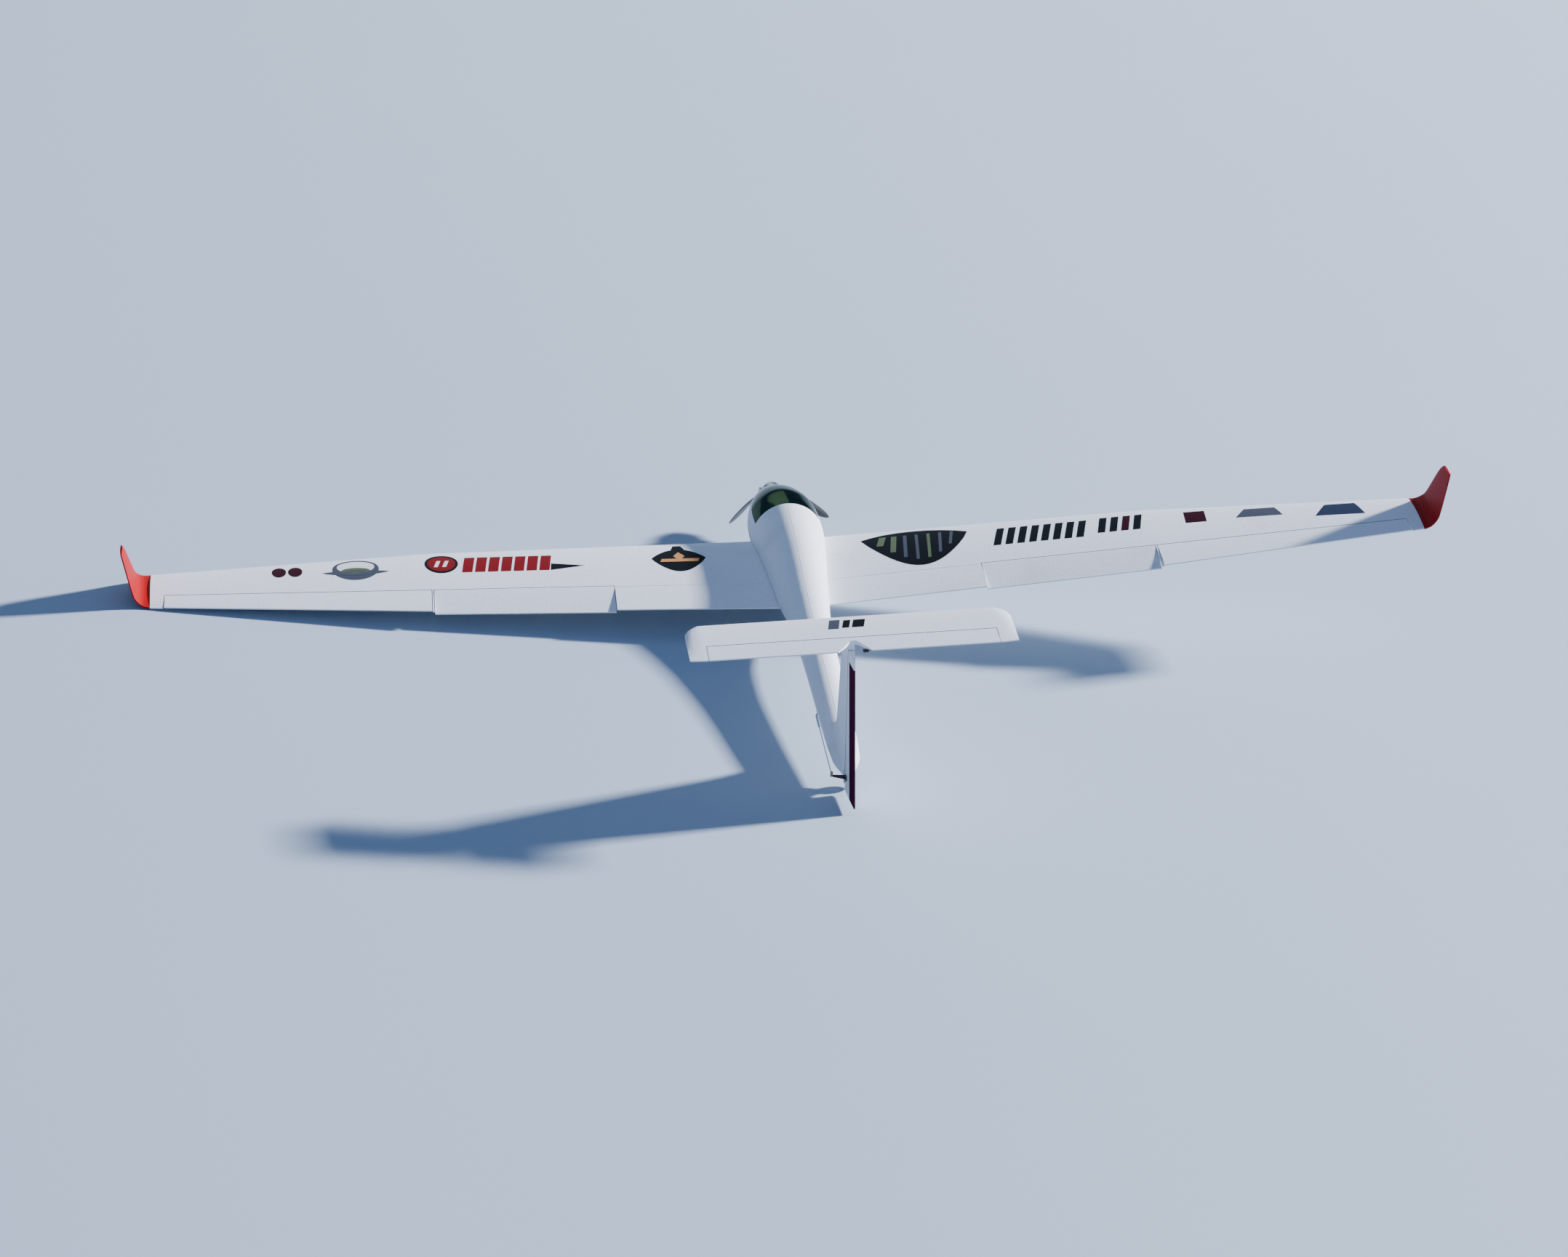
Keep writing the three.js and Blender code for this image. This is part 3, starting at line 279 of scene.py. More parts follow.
def surface(name, colour, roughness, **uniform):
    """A named material with its shader's uniform values set.

    Returns the material, its tree, the shader's inputs, and Object coordinates for its patterns.
    """
    material = bpy.data.materials.new(name)
    material.use_nodes = True
    tree = material.node_tree
    shader = tree.nodes["Principled BSDF"].inputs
    shader["Base Color"].default_value = (*colour, 1)
    shader["Roughness"].default_value = roughness
    for key, value in uniform.items():
        shader[key.replace("_", " ")].default_value = value
    return material, tree, shader, node(tree, "ShaderNodeTexCoord", out="Object")


# Settings and colour output of a Mix node, which takes its colours at 6 and 7.
BLEND, SHADE, COLOUR = {"data_type": "RGBA"}, {"data_type": "RGBA", "blend_type": "MULTIPLY"}, 2
SOFT = {"interpolation_type": "SMOOTHSTEP"}


def foam(name, colour, bead, depth, stain="EDEAE0", gloss=0.42):
    """Expanded polyolefin foam, moulded by steam: beads pressed into one skin.

    It gives the eye a satin white with a faint net of creases where beads meet, beads that differ
    a little in tone, and a slightly uneven, handled look over a hand's breadth. The creases are
    also darkened in the colour, which is painted shade.
    """
    # Real beads are about 3 mm; they are drawn at 4 mm, because 3 mm is under a pixel here.
    material, tree, shader, place = surface(name, colour, 0.52, IOR=1.45, Specular_IOR_Level=gloss)
    warp = {"Vector": place, "Scale": 420.0, "Detail": 1.0}
    warp = node(tree, "ShaderNodeTexNoise", warp, "Color")
    shift = {0: warp, 1: (bead * 0.3,) * 3, 2: place}
    beads = {
        "Vector": node(tree, "ShaderNodeVectorMath", shift, operation="MULTIPLY_ADD"),
        "Scale": 1 / bead,
    }
    crease = node(tree, "ShaderNodeTexVoronoi", beads, feature="DISTANCE_TO_EDGE")
    each = node(tree, "ShaderNodeTexVoronoi", beads, "Color")
    rounded = node(tree, "ShaderNodeMapRange", {"Value": crease, "From Max": 0.16}, **SOFT)
    relief = {"Height": rounded, "Distance": depth, "Strength": 0.8}
    node(tree, "ShaderNodeBump", relief, to=shader["Normal"])
    tone = node(tree, "ShaderNodeMapRange", {"Value": each, "To Min": 0.955, "To Max": 1.0})
    # The creases between beads are drawn as thin darker lines in the colour: painted shade.
    crease_shade = {"Value": crease, "From Max": 0.06, "To Min": 0.94, "To Max": 1.0}
    line = node(tree, "ShaderNodeMapRange", crease_shade)
    shade = node(tree, "ShaderNodeMath", {0: tone, 1: line}, operation="MULTIPLY")
    handled = node(tree, "ShaderNodeTexNoise", {"Vector": place, "Scale": 9.0, "Detail": 4.0})
    smudge = {"Value": handled, "From Min": 0.56, "From Max": 0.95}
    smudge = node(tree, "ShaderNodeMapRange", smudge, **SOFT)
    stained = tuple(c * s for c, s in zip(colour, srgb(stain)))
    base = {0: smudge, 6: (*colour, 1), 7: (*stained, 1)}
    base = node(tree, "ShaderNodeMix", base, COLOUR, **BLEND)
    node(tree, "ShaderNodeMix", {0: 1.0, 6: base, 7: shade}, COLOUR, shader["Base Color"], **SHADE)
    sheen = {"Value": handled, "To Min": 0.44, "To Max": 0.6}
    node(tree, "ShaderNodeMapRange", sheen, to=shader["Roughness"])
    return material


def moulded(name, colour, roughness, grain=0.0012, coat=0.0):
    """An injection-moulded plastic: a fine spark-eroded grain and slightly uneven gloss."""
    material, tree, shader, place = surface(name, colour, roughness, IOR=1.5, Coat_Weight=coat)
    grit = node(tree, "ShaderNodeTexNoise", {"Vector": place, "Scale": 1 / grain, "Detail": 2.0})
    node(tree, "ShaderNodeBump", {"Height": grit, "Distance": 0.00003}, to=shader["Normal"])
    worn = node(tree, "ShaderNodeTexNoise", {"Vector": place, "Scale": 60.0, "Detail": 3.0})
    gloss = {"Value": worn, "To Min": roughness - 0.07, "To Max": roughness + 0.09}
    node(tree, "ShaderNodeMapRange", gloss, to=shader["Roughness"])
    tint = {0: 0.18, 6: (*colour, 1), 7: worn}
    node(tree, "ShaderNodeMix", tint, COLOUR, shader["Base Color"], **SHADE)
    return material


def canopy_gloss(name, colour):
    """Vacuum-formed polycarbonate with a dark green mirror tint on its inside.

    The eye gets dim, greenish reflections right up to the canopy's outline, a faint waviness from
    the forming and a little dust. It is a mirror and no clear coat, so it is metallic and its edge
    colour is dark.
    """
    edge = (*srgb("AEB0AE"), 1)
    material, tree, shader, place = surface(name, colour, 0.16, Metallic=1.0, Specular_Tint=edge)
    wave = node(tree, "ShaderNodeTexNoise", {"Vector": place, "Scale": 22.0, "Detail": 1.0})
    node(tree, "ShaderNodeBump", {"Height": wave, "Distance": 0.0006}, to=shader["Normal"])
    dust = node(tree, "ShaderNodeTexNoise", {"Vector": place, "Scale": 60.0, "Detail": 2.0})
    haze = {"Value": dust, "From Min": 0.45, "From Max": 0.8, "To Min": 0.12, "To Max": 0.2}
    node(tree, "ShaderNodeMapRange", haze, to=shader["Roughness"], **SOFT)
    deep = node(tree, "ShaderNodeMapRange", {"Value": wave, "To Min": 0.7, "To Max": 1.0})
    tint = {0: 1.0, 6: (*colour, 1), 7: deep}
    node(tree, "ShaderNodeMix", tint, COLOUR, shader["Base Color"], **SHADE)
    return material


def brushed(name, colour, roughness, across, spacing):
    """A bright metal with fine tool lines at a spacing along one direction of the frame."""
    material, tree, shader, place = surface(name, colour, roughness, Metallic=1.0)
    stretch = [1 / spacing if c else 30.0 for c in across]
    turned = node(tree, "ShaderNodeMapping", {"Vector": place, "Scale": stretch})
    lines = node(tree, "ShaderNodeTexNoise", {"Vector": turned, "Scale": 1.0, "Detail": 3.0})
    node(tree, "ShaderNodeBump", {"Height": lines, "Distance": 0.00004}, to=shader["Normal"])
    gloss = {"Value": lines, "To Min": roughness - 0.08, "To Max": roughness + 0.12}
    node(tree, "ShaderNodeMapRange", gloss, to=shader["Roughness"])
    return material


def rubber(name, colour):
    """Moulded tyre rubber: matt charcoal, greyed by dust in its fine pits."""
    material, tree, shader, place = surface(name, colour, 0.85, IOR=1.5, Specular_IOR_Level=0.3)
    pits = node(tree, "ShaderNodeTexNoise", {"Vector": place, "Scale": 900.0, "Detail": 4.0})
    node(tree, "ShaderNodeBump", {"Height": pits, "Distance": 0.00012}, to=shader["Normal"])
    dust = node(tree, "ShaderNodeTexNoise", {"Vector": place, "Scale": 90.0, "Detail": 4.0})
    settled = {"Value": dust, "From Min": 0.42, "From Max": 0.7}
    greyed = node(tree, "ShaderNodeMapRange", settled, **SOFT)
    tint = {0: greyed, 6: (*colour, 1), 7: (*srgb("3F3D3A"), 1)}
    node(tree, "ShaderNodeMix", tint, COLOUR, shader["Base Color"], **BLEND)
    return material


def vinyl(name, colour, roughness=0.5, gloss=0.04):
    """Printed sticker film: even ink under a matt coat, with the foam's beads just showing."""
    material, tree, shader, place = surface(
        name, colour, roughness, IOR=1.5, Specular_IOR_Level=gloss
    )
    beads = node(tree, "ShaderNodeTexVoronoi", {"Vector": place, "Scale": 200.0})
    relief = {"Height": beads, "Distance": 0.00008, "Strength": 0.5}
    node(tree, "ShaderNodeBump", relief, to=shader["Normal"])
    fade = node(tree, "ShaderNodeTexNoise", {"Vector": place, "Scale": 70.0, "Detail": 3.0})
    worn = node(tree, "ShaderNodeMapRange", {"Value": fade, "To Min": 0.8, "To Max": 1.0})
    tint = {0: 0.6, 6: (*colour, 1), 7: worn}
    node(tree, "ShaderNodeMix", tint, COLOUR, shader["Base Color"], **SHADE)
    return material


def plywood(name, colour):
    """Birch plywood tray: pale tan with long, close grain along the fuselage."""
    material, tree, shader, place = surface(name, colour, 0.6, IOR=1.48)
    along_grain = {"Vector": place, "Scale": (700.0, 25.0, 700.0)}
    along_grain = node(tree, "ShaderNodeMapping", along_grain)
    grain = node(tree, "ShaderNodeTexNoise", {"Vector": along_grain, "Scale": 1.0, "Detail": 4.0})
    shade = node(tree, "ShaderNodeMapRange", {"Value": grain, "To Min": 0.62, "To Max": 1.0})
    tint = {0: 1.0, 6: (*colour, 1), 7: shade}
    node(tree, "ShaderNodeMix", tint, COLOUR, shader["Base Color"], **SHADE)
    node(tree, "ShaderNodeBump", {"Height": grain, "Distance": 0.00005}, to=shader["Normal"])
    return material


def woven(name, colour):
    """Hook-and-loop strap: dull nylon with a fuzzy, criss-cross weave half a millimetre wide."""
    material, tree, shader, place = surface(
        name, colour, 0.95, Sheen_Weight=0.4, Sheen_Roughness=0.6
    )
    bands = {"Vector": place, "Scale": 320.0, "Distortion": 1.5, "Detail": 1.0}
    warp = node(tree, "ShaderNodeTexWave", bands, bands_direction="Y")
    fuzz = node(tree, "ShaderNodeTexNoise", {"Vector": place, "Scale": 1400.0})
    height = node(tree, "ShaderNodeMath", {0: warp, 1: fuzz}, operation="ADD")
    node(tree, "ShaderNodeBump", {"Height": height, "Distance": 0.0002}, to=shader["Normal"])
    tint = {0: 0.6, 6: (*colour, 1), 7: fuzz}
    node(tree, "ShaderNodeMix", tint, COLOUR, shader["Base Color"], **SHADE)
    return material


def shrink_wrap(name, colour):
    """Heat-shrunk sleeve round the battery: thin glossy film, drawn into small wrinkles."""
    material, tree, shader, place = surface(name, colour, 0.3, IOR=1.52)
    drawn = {"Vector": place, "Scale": 70.0, "Detail": 3.0, "Distortion": 1.5}
    wrinkles = node(tree, "ShaderNodeTexNoise", drawn)
    relief = {"Height": wrinkles, "Distance": 0.0009, "Strength": 0.6}
    node(tree, "ShaderNodeBump", relief, to=shader["Normal"])
    # The sleeve's colour is darker in the hollows of its wrinkles: painted shade.
    tint = {0: 0.25, 6: (*colour, 1), 7: wrinkles}
    node(tree, "ShaderNodeMix", tint, COLOUR, shader["Base Color"], **SHADE)
    return material


@cache
def finish(name):
    """The material of that name, made once."""
    looks, sizes = bpy.context.scene.sailplane_finish, bpy.context.scene.sailplane_sizes
    beads = (sizes.bead, sizes.bead_depth)
    if name in ("dark", "navy", "grey", "red", "olive", "tan"):
        return vinyl(f"vinyl_{name}", getattr(looks, name))
    maker, *values = {
        "foam": (foam, "foam_white", looks.foam, *beads),
        "red_foam": (foam, "foam_red", looks.winglet, *beads, "C9C2C2", 0.15),
        "canopy": (canopy_gloss, "canopy_polycarbonate", looks.canopy),
        "black_plastic": (moulded, "nylon_black", srgb("1B1C1F"), 0.42),
        "carbon_nylon": (moulded, "nylon_blade", srgb("202226"), 0.32, 0.002),
        "servo_case": (moulded, "nylon_servo_blue", srgb("1E2C4E"), 0.36, 0.0012, 0.2),
        "white_nylon": (moulded, "nylon_white", srgb("E6E6E2"), 0.4),
        "steel": (brushed, "steel_wire", srgb("BCBFC4"), 0.3, (1, 0, 0), 0.0006),
        "aluminium": (brushed, "aluminium_turned", srgb("CFD2D6"), 0.26, (0, 1, 0), 0.0009),
        "brass": (brushed, "brass_fitting", srgb("C9A25A"), 0.3, (0, 1, 0), 0.0006),
        "tyre": (rubber, "rubber_tyre", srgb("1D1D1E")),
        "maroon": (vinyl, "vinyl_maroon", srgb("34121E")),
        # Cloth tape has no gloss, so that it stays dark at a glancing angle.
        "cloth_tape": (vinyl, "cloth_tape_maroon", looks.maroon, 0.9, 0.0),
        "pale": (vinyl, "vinyl_pale", srgb("E6E4DE")),
        "clear_tape": (vinyl, "tape_servo_lead", srgb("C9CBCF")),
        "ply": (plywood, "plywood_birch", srgb("C9A877")),
        "strap": (woven, "strap_nylon", srgb("2A2B2E")),
        "battery_wrap": (shrink_wrap, "sleeve_blue", looks.battery),
    }[name]
    return maker(*values)


def mesh_of(points, faces, name="skin"):
    """A mesh from the points and faces of closed shells, turned to face outwards."""
    mesh = bpy.data.meshes.new(name)
    mesh.from_pydata([tuple(p) for p in points], [], faces)
    mesh.validate()
    return outwards(mesh)


def outwards(mesh):
    """The same closed mesh with its faces pointing out: its volume is positive."""
    mesh.calc_loop_triangles()
    corners = np.empty(len(mesh.vertices) * 3)
    mesh.vertices.foreach_get("co", corners)
    corners = corners.reshape(-1, 3)
    index = np.empty(len(mesh.loop_triangles) * 3, int)
    mesh.loop_triangles.foreach_get("vertices", index)
    a, b, c = (corners[index.reshape(-1, 3)[:, k]] for k in range(3))
    if np.einsum("ij,ij->", a, np.cross(b, c)) < 0:
        mesh.flip_normals()
    return mesh


def loft(rings):
    """A closed skin over rings of equal length, capped at both ends."""
    count = len(rings[0])
    points = [p for ring in rings for p in ring]
    faces = []
    for start in range(0, len(points) - count, count):
        for j in range(count):
            a, b = start + j, start + (j + 1) % count
            faces.append((a, b, b + count, a + count))
    faces.append(tuple(reversed(range(count))))
    faces.append(tuple(range(len(points) - count, len(points))))
    return mesh_of(points, faces)


def block(low, high):
    """A box between two corners."""
    (x0, y0, z0), (x1, y1, z1) = low, high
    return loft([[(x0, y0, z), (x1, y0, z), (x1, y1, z), (x0, y1, z)] for z in (z0, z1)])


def grown(low, high):
    """A box's corners with the gap of a seat added all round."""
    return [v - SEAT for v in low], [v + SEAT for v in high]


def arc(u, v, radius, start, sweep, steps=8):
    """Points of an arc about a point in a plane; its angles are in degrees."""
    angles = [math.radians(start + sweep * k / steps) for k in range(steps + 1)]
    return [(u + radius * math.cos(a), v + radius * math.sin(a)) for a in angles]


def rounded_outline(half_x, half_y, radius):
    """Points round a rectangle with round corners, about the origin."""
    points = []
    for sx, sy, start in ((1, 1, 0), (-1, 1, 90), (-1, -1, 180), (1, -1, 270)):
        points += arc(sx * (half_x - radius), sy * (half_y - radius), radius, start, 90, 6)
    return points


def prism(outline, origin, along_u, along_v, depth):
    """A plate: an outline in the plane of two directions, drawn out by a depth vector."""
    ring = [Vector(origin) + along_u * u + along_v * v for u, v in outline]
    return loft([ring, [p + Vector(depth) for p in ring]])


def rod(start, end, radius, radius_end=None, sides=24):
    """A cylinder or frustum between two points."""
    start, end = Vector(start), Vector(end)
    turn = (end - start).to_track_quat("Z", "Y")
    across, over = turn @ RIGHT, turn @ NOSEWARD
    circle = arc(0, 0, 1, 0, 360, sides)[:-1]
    ends = (start, radius), (end, radius if radius_end is None else radius_end)
    return loft([[p + across * (r * u) + over * (r * v) for u, v in circle] for p, r in ends])


def lathe(profile, start, axis, sides=64):
    """A closed turned shape: (radius, place along the axis) points, spun about an axis."""
    turn = Vector(axis).to_track_quat("Z", "Y")
    across, over = turn @ RIGHT, turn @ NOSEWARD
    circle = arc(0, 0, 1, 0, 360, sides)[:-1]
    points, rows = [], []
    for radius, height in profile:
        centre = Vector(start) + Vector(axis) * height
        spread = circle if radius else circle[:1]
        rows.append([len(points) + k % len(spread) for k in range(sides)])
        points += [centre + (across * u + over * v) * radius for u, v in spread]
    pairs = list(zip(rows, rows[1:]))
    if profile[0][0] > 0:
        pairs.append((rows[-1], rows[0]))
    faces = []
    for inner, outer in pairs:
        for k in range(sides):
            j = (k + 1) % sides
            face = tuple(dict.fromkeys((inner[k], inner[j], outer[j], outer[k])))
            if len(face) > 2:
                faces.append(face)
    return mesh_of(points, faces)


def joined(*meshes):
    """Several meshes as one, each keeping its own shell."""
    points, faces = [], []
    for mesh in meshes:
        offset = len(points)
        points += [v.co.copy() for v in mesh.vertices]
        faces += [tuple(i + offset for i in p.vertices) for p in mesh.polygons]
    whole = bpy.data.meshes.new("skin")
    whole.from_pydata(points, [], faces)
    return whole


def evaluated(carrier):
    """The plain mesh that an object's modifiers give; the object is removed."""
    bpy.context.view_layer.update()
    graph = bpy.context.evaluated_depsgraph_get()
    made = bpy.data.meshes.new_from_object(carrier.evaluated_get(graph))
    bpy.data.objects.remove(carrier)
    return made


def carried(mesh):
    """A passing object that holds a mesh while modifiers work on it."""
    carrier = bpy.data.objects.new("carrier", mesh)
    bpy.context.scene.collection.objects.link(carrier)
    return carrier


def cut(base, operation, *tools):
    """A mesh joined with others (UNION), less them (DIFFERENCE) or inside them (INTERSECT)."""
    carrier = carried(base)
    holders = [carried(tool) for tool in tools]
    for holder in holders:
        modifier = carrier.modifiers.new("cut", "BOOLEAN")
        modifier.operation, modifier.solver, modifier.object = operation, "MANIFOLD", holder
    made = evaluated(carrier)
    for holder in holders:
        bpy.data.objects.remove(holder)
    if not made.polygons:
        raise RuntimeError(f"a {operation} left nothing: one of its meshes isn't closed")
    return made


def softened(mesh, width, segments=2):
    """The same mesh with its edges rounded by a width in millimetres."""
    carrier = carried(mesh)
    bevel = carrier.modifiers.new("edges", "BEVEL")
    bevel.width, bevel.segments, bevel.limit_method = width, segments, "ANGLE"
    bevel.angle_limit = math.radians(35)
    return evaluated(carrier)


def mirrored(mesh):
    """The same mesh on the other side of the centreline."""
    copy = mesh.copy()
    copy.transform(Matrix.Scale(-1, 4, RIGHT))
    copy.flip_normals()
    return copy


def turned(mesh, point, axis, degrees):
    """The same mesh turned about an axis through a point."""
    copy = mesh.copy()
    about = Matrix.Rotation(math.radians(degrees), 4, axis)
    copy.transform(Matrix.Translation(point) @ about @ Matrix.Translation(-Vector(point)))
    return copy


def place(name, mesh, material, body="airframe", slot=None, node_name=None):
    """Puts a finished mesh in the frame as a piece that rides on a body, smooth where it curves.

    Its slot argument is not used. It may replace a CAD node.
    """
    mesh = mesh.copy()
    mesh.transform(AIRFRAME)
    mesh.name = name
    mesh.materials.clear()
    mesh.materials.append(finish(material))
    mesh.shade_smooth()
    mesh.set_sharp_from_angle(angle=math.radians(SHARP))
    piece = bpy.data.objects.new(name, mesh)
    bpy.context.scene.collection.objects.link(piece)
    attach(piece, body)
    slot or material
    if node_name:
        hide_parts(node_name)


def pair(name, mesh, material, body="airframe", slot=None, node_name=None):
    """Places a mesh on the right, and its mirror image on the left."""
    for side, made in (("right", mesh), ("left", mirrored(mesh))):
        on_side = body if body == "airframe" else f"{body}_{side}"
        place(f"{name}_{side}", made, material, on_side, slot, node_name and f"{node_name}_{side}")


def monotone(table, column, y):
    """Smooth value of one column of a falling station table at y, with no overshoot."""
    last = len(table) - 1
    i = next((k for k in range(1, last + 1) if table[k][0] <= y), last) - 1

    def slope(k):
        return (table[k + 1][column] - table[k][column]) / (table[k + 1][0] - table[k][0])

    def tangent(k):
        if k in (0, last):
            return slope(min(k, last - 1))
        before, after = slope(k - 1), slope(k)
        return 2 * before * after / (before + after) if before * after > 0 else 0

    step = table[i + 1][0] - table[i][0]
    t = (y - table[i][0]) / step
    return (
        (2 * t**3 - 3 * t**2 + 1) * table[i][column]
        + (t**3 - 2 * t**2 + t) * step * tangent(i)
        + (3 * t**2 - 2 * t**3) * table[i + 1][column]
        + (t**3 - t**2) * step * tangent(i + 1)
    )


def fuselage_skin(inset=0.0, spacing=6.0, sides=96):
    """The fuselage's outer skin, or one parallel to it inside (positive) or outside."""
    start, end = FUSELAGE[0][0], FUSELAGE[-1][0]
    count = round((start - end) / spacing)
    circle = arc(0, 0, 1, 0, 360, sides)[:-1]
    rings = []
    for k in range(count + 1):
        y = start + (end - start) * k / count
        half = monotone(FUSELAGE, 1, y) - inset
        low, high = monotone(FUSELAGE, UNDERSIDE, y) + inset, monotone(FUSELAGE, CROWN, y) - inset
        middle, tall = (low + high) / 2, (high - low) / 2
        rings.append([Vector((half * v, y, middle + tall * u)) for u, v in circle])
    return loft(rings)


def sill_at(y):
    """Height of the canopy's sill."""
    return CANOPY_SILL + SILL_SLOPE * (y - CANOPY_REAR)


def above_sill(rear, rise, top=200, front=420, half=100):
    """All that lies above the canopy's sill ahead of a place."""
    corners = ((rear, rise), (front, rise), (front, top), (rear, top))
    return loft([[(x, y, sill_at(y) + lift) for y, lift in corners] for x in (-half, half)])


def round_tail(low_z, high_z):
    """All round the tail between two heights, to trim the fin with."""
    return block((-60, -600, low_z), (60, -300, high_z))


def section_half(c):
    """Half thickness of the four-digit section, as a share of chord times thickness."""
    return 5 * (0.2969 * math.sqrt(c) - 0.126 * c - 0.3516 * c**2 + 0.2843 * c**3 - 0.1036 * c**4)


def section_point(lead, trail, thickness, camber, c):
    """Offset along the normal of the mean line, and half thickness, at a share of the chord."""
    chord = lead - trail
    return 4 * camber * c * (1 - c) * chord, section_half(c) * thickness * chord + TRAILING_HALF * c


def half_at(lead, trail, thickness, y):
    """Half thickness of an uncambered section at a place along its chord."""
    return section_point(lead, trail, thickness, 0, (lead - y) / (lead - trail))[1]


def between(table, key):
    """The stations on either side of a place along a surface, and its share of the way."""
    i = next((k for k in range(len(table) - 2) if key <= table[k + 1][0]), len(table) - 2)
    inner, outer = table[i], table[i + 1]
    return inner, outer, (key - inner[0]) / (outer[0] - inner[0])


def along(table, key):
    """Lead, trail and thickness at a place along a straight-tapered surface."""
    inner, outer, t = between(table, key)
    return [a + (b - a) * t for a, b in zip(inner[1:4], outer[1:4])]


def wing_skin(x, y, side=1):
    """Height of the wing's upper (1) or lower (-1) skin over a place in plan."""
    lead, trail, thickness = along(WING, abs(x))
    c = min(max((lead - y) / (lead - trail), 0), 1)
    mean, half = section_point(lead, trail, thickness, WING_CAMBER, c)
    return abs(x) * WING_DIHEDRAL + mean + side * half


def tailplane_skin(x, y):
    """Height of the tailplane's upper skin."""
    return TAIL_Z + half_at(TAIL_LEAD, TAIL_TRAIL, TAIL_THICK, y)


def hinge_on(table, key, share, camber, spot):
    """A hinge line's point at a place along the span, and the half thickness there."""
    inner, outer, t = between(table, key)
    ends = []
    for place_along, lead, trail, thickness in (inner, outer):
        mean, half = section_point(lead, trail, thickness, camber, share)
        ends.append((spot(place_along, lead - share * (lead - trail), mean), half))
    (a, half_a), (b, half_b) = ends
    return a.lerp(b, t), half_a + (half_b - half_a) * t


def wing_hinge(x):
    """The wing's hinge line at a place along the right wing."""

    def spot(s, y, mean):
        return Vector((s, y, s * WING_DIHEDRAL + mean))

    return hinge_on(WING, x, WING_HINGE, WING_CAMBER, spot)


def fin_hinge(z):
    """The rudder's hinge line at a height."""
    return hinge_on(FIN, z, FIN_HINGE, 0, lambda s, y, mean: Vector((mean, y, s)))


def tail_hinge(x):
    """The elevator's hinge line at a place along the tailplane."""
    _, half = section_point(TAIL_LEAD, TAIL_TRAIL, TAIL_THICK, 0, TAIL_HINGE)
    return Vector((x, TAIL_LEAD - TAIL_HINGE * (TAIL_LEAD - TAIL_TRAIL), TAIL_Z)), half


def wedge(start, end, front, lengthen, reach=120, tall=60):
    """All behind a hinge line, from a distance ahead of it, past both its ends by a length."""
    axis = (end - start).normalized()
    aft = (-NOSEWARD - axis * axis.dot(-NOSEWARD)).normalized()
    side = axis.cross(aft)
    corners = ((-front, tall), (reach, tall), (reach, -tall), (-front, -tall))
    middles = (start - axis * lengthen, end + axis * lengthen)
    return loft([[p + aft * a + side * s for a, s in corners] for p in middles])


def hinge_split(whole, ends, gap):
    """Splits a hinged surface off.

    Returns the fixed part with its hollow, the surface with its round nose, and the hinge line's
    start and direction. The nose is a hair thinner than the section, so that it meets its skin.
    """
    (start, half_start), (end, half_end) = ends
    axis, thinner, overlap = (end - start).normalized(), 0.08, 0.1
    past = axis * END_GAP
    hollow = rod(start - past, end + past, half_start + gap, half_end + gap, 48)
    fixed = cut(whole, "DIFFERENCE", wedge(start, end, 0, END_GAP), hollow)
    nose = rod(start, end, half_start - thinner, half_end - thinner, 48)
    moving = cut(cut(whole, "INTERSECT", wedge(start, end, overlap, 0)), "UNION", nose)
    return fixed, moving, start, axis


def path_of(points):
    """A line of points joined by edges, for a tree of geometry nodes to grow along."""
    path = bpy.data.meshes.new("path")
    path.from_pydata([tuple(p) for p in points], [(i, i + 1) for i in range(len(points) - 1)], [])
    return path


def grow(tree, start, values):
    """The plain mesh that a tree of geometry nodes grows from a starting mesh."""
    carrier = carried(start)
    modifier = carrier.modifiers.new(tree.name, "NODES")
    modifier.node_group = tree
    for item in tree.interface.items_tree:
        if item.in_out == "INPUT" and item.name in values:
            modifier[item.identifier] = values[item.name]
    carrier.update_tag()
    made = evaluated(carrier)
    for label in ("lead", "trail", "thickness", "lean", "base", "around", "turn"):
        if label in made.attributes:
            made.attributes.remove(made.attributes[label])
    return made


def new_tree(name, sockets):
    """An empty tree of geometry nodes with named inputs; returns it and those inputs."""
    tree = bpy.data.node_groups.new(name, "GeometryNodeTree")
    for way in ("OUTPUT", "INPUT"):
        tree.interface.new_socket("Geometry", in_out=way, socket_type="NodeSocketGeometry")
    for label, kind, default in (*sockets, ("Finish", "NodeSocketMaterial", None)):
        socket = tree.interface.new_socket(label, in_out="INPUT", socket_type=kind)
        if default is not None:
            socket.default_value = default
    return tree, tree.nodes.new("NodeGroupInput").outputs


def close_tree(tree, given, geometry):
    """Ends a tree: its instances are made real and its finish is set."""
    real = node(tree, "GeometryNodeRealizeInstances", {"Geometry": geometry})
    painted = {"Geometry": real, "Material": given["Finish"]}
    result = tree.nodes.new("NodeGroupOutput").inputs[0]
    node(tree, "GeometryNodeSetMaterial", painted, to=result)
    return tree


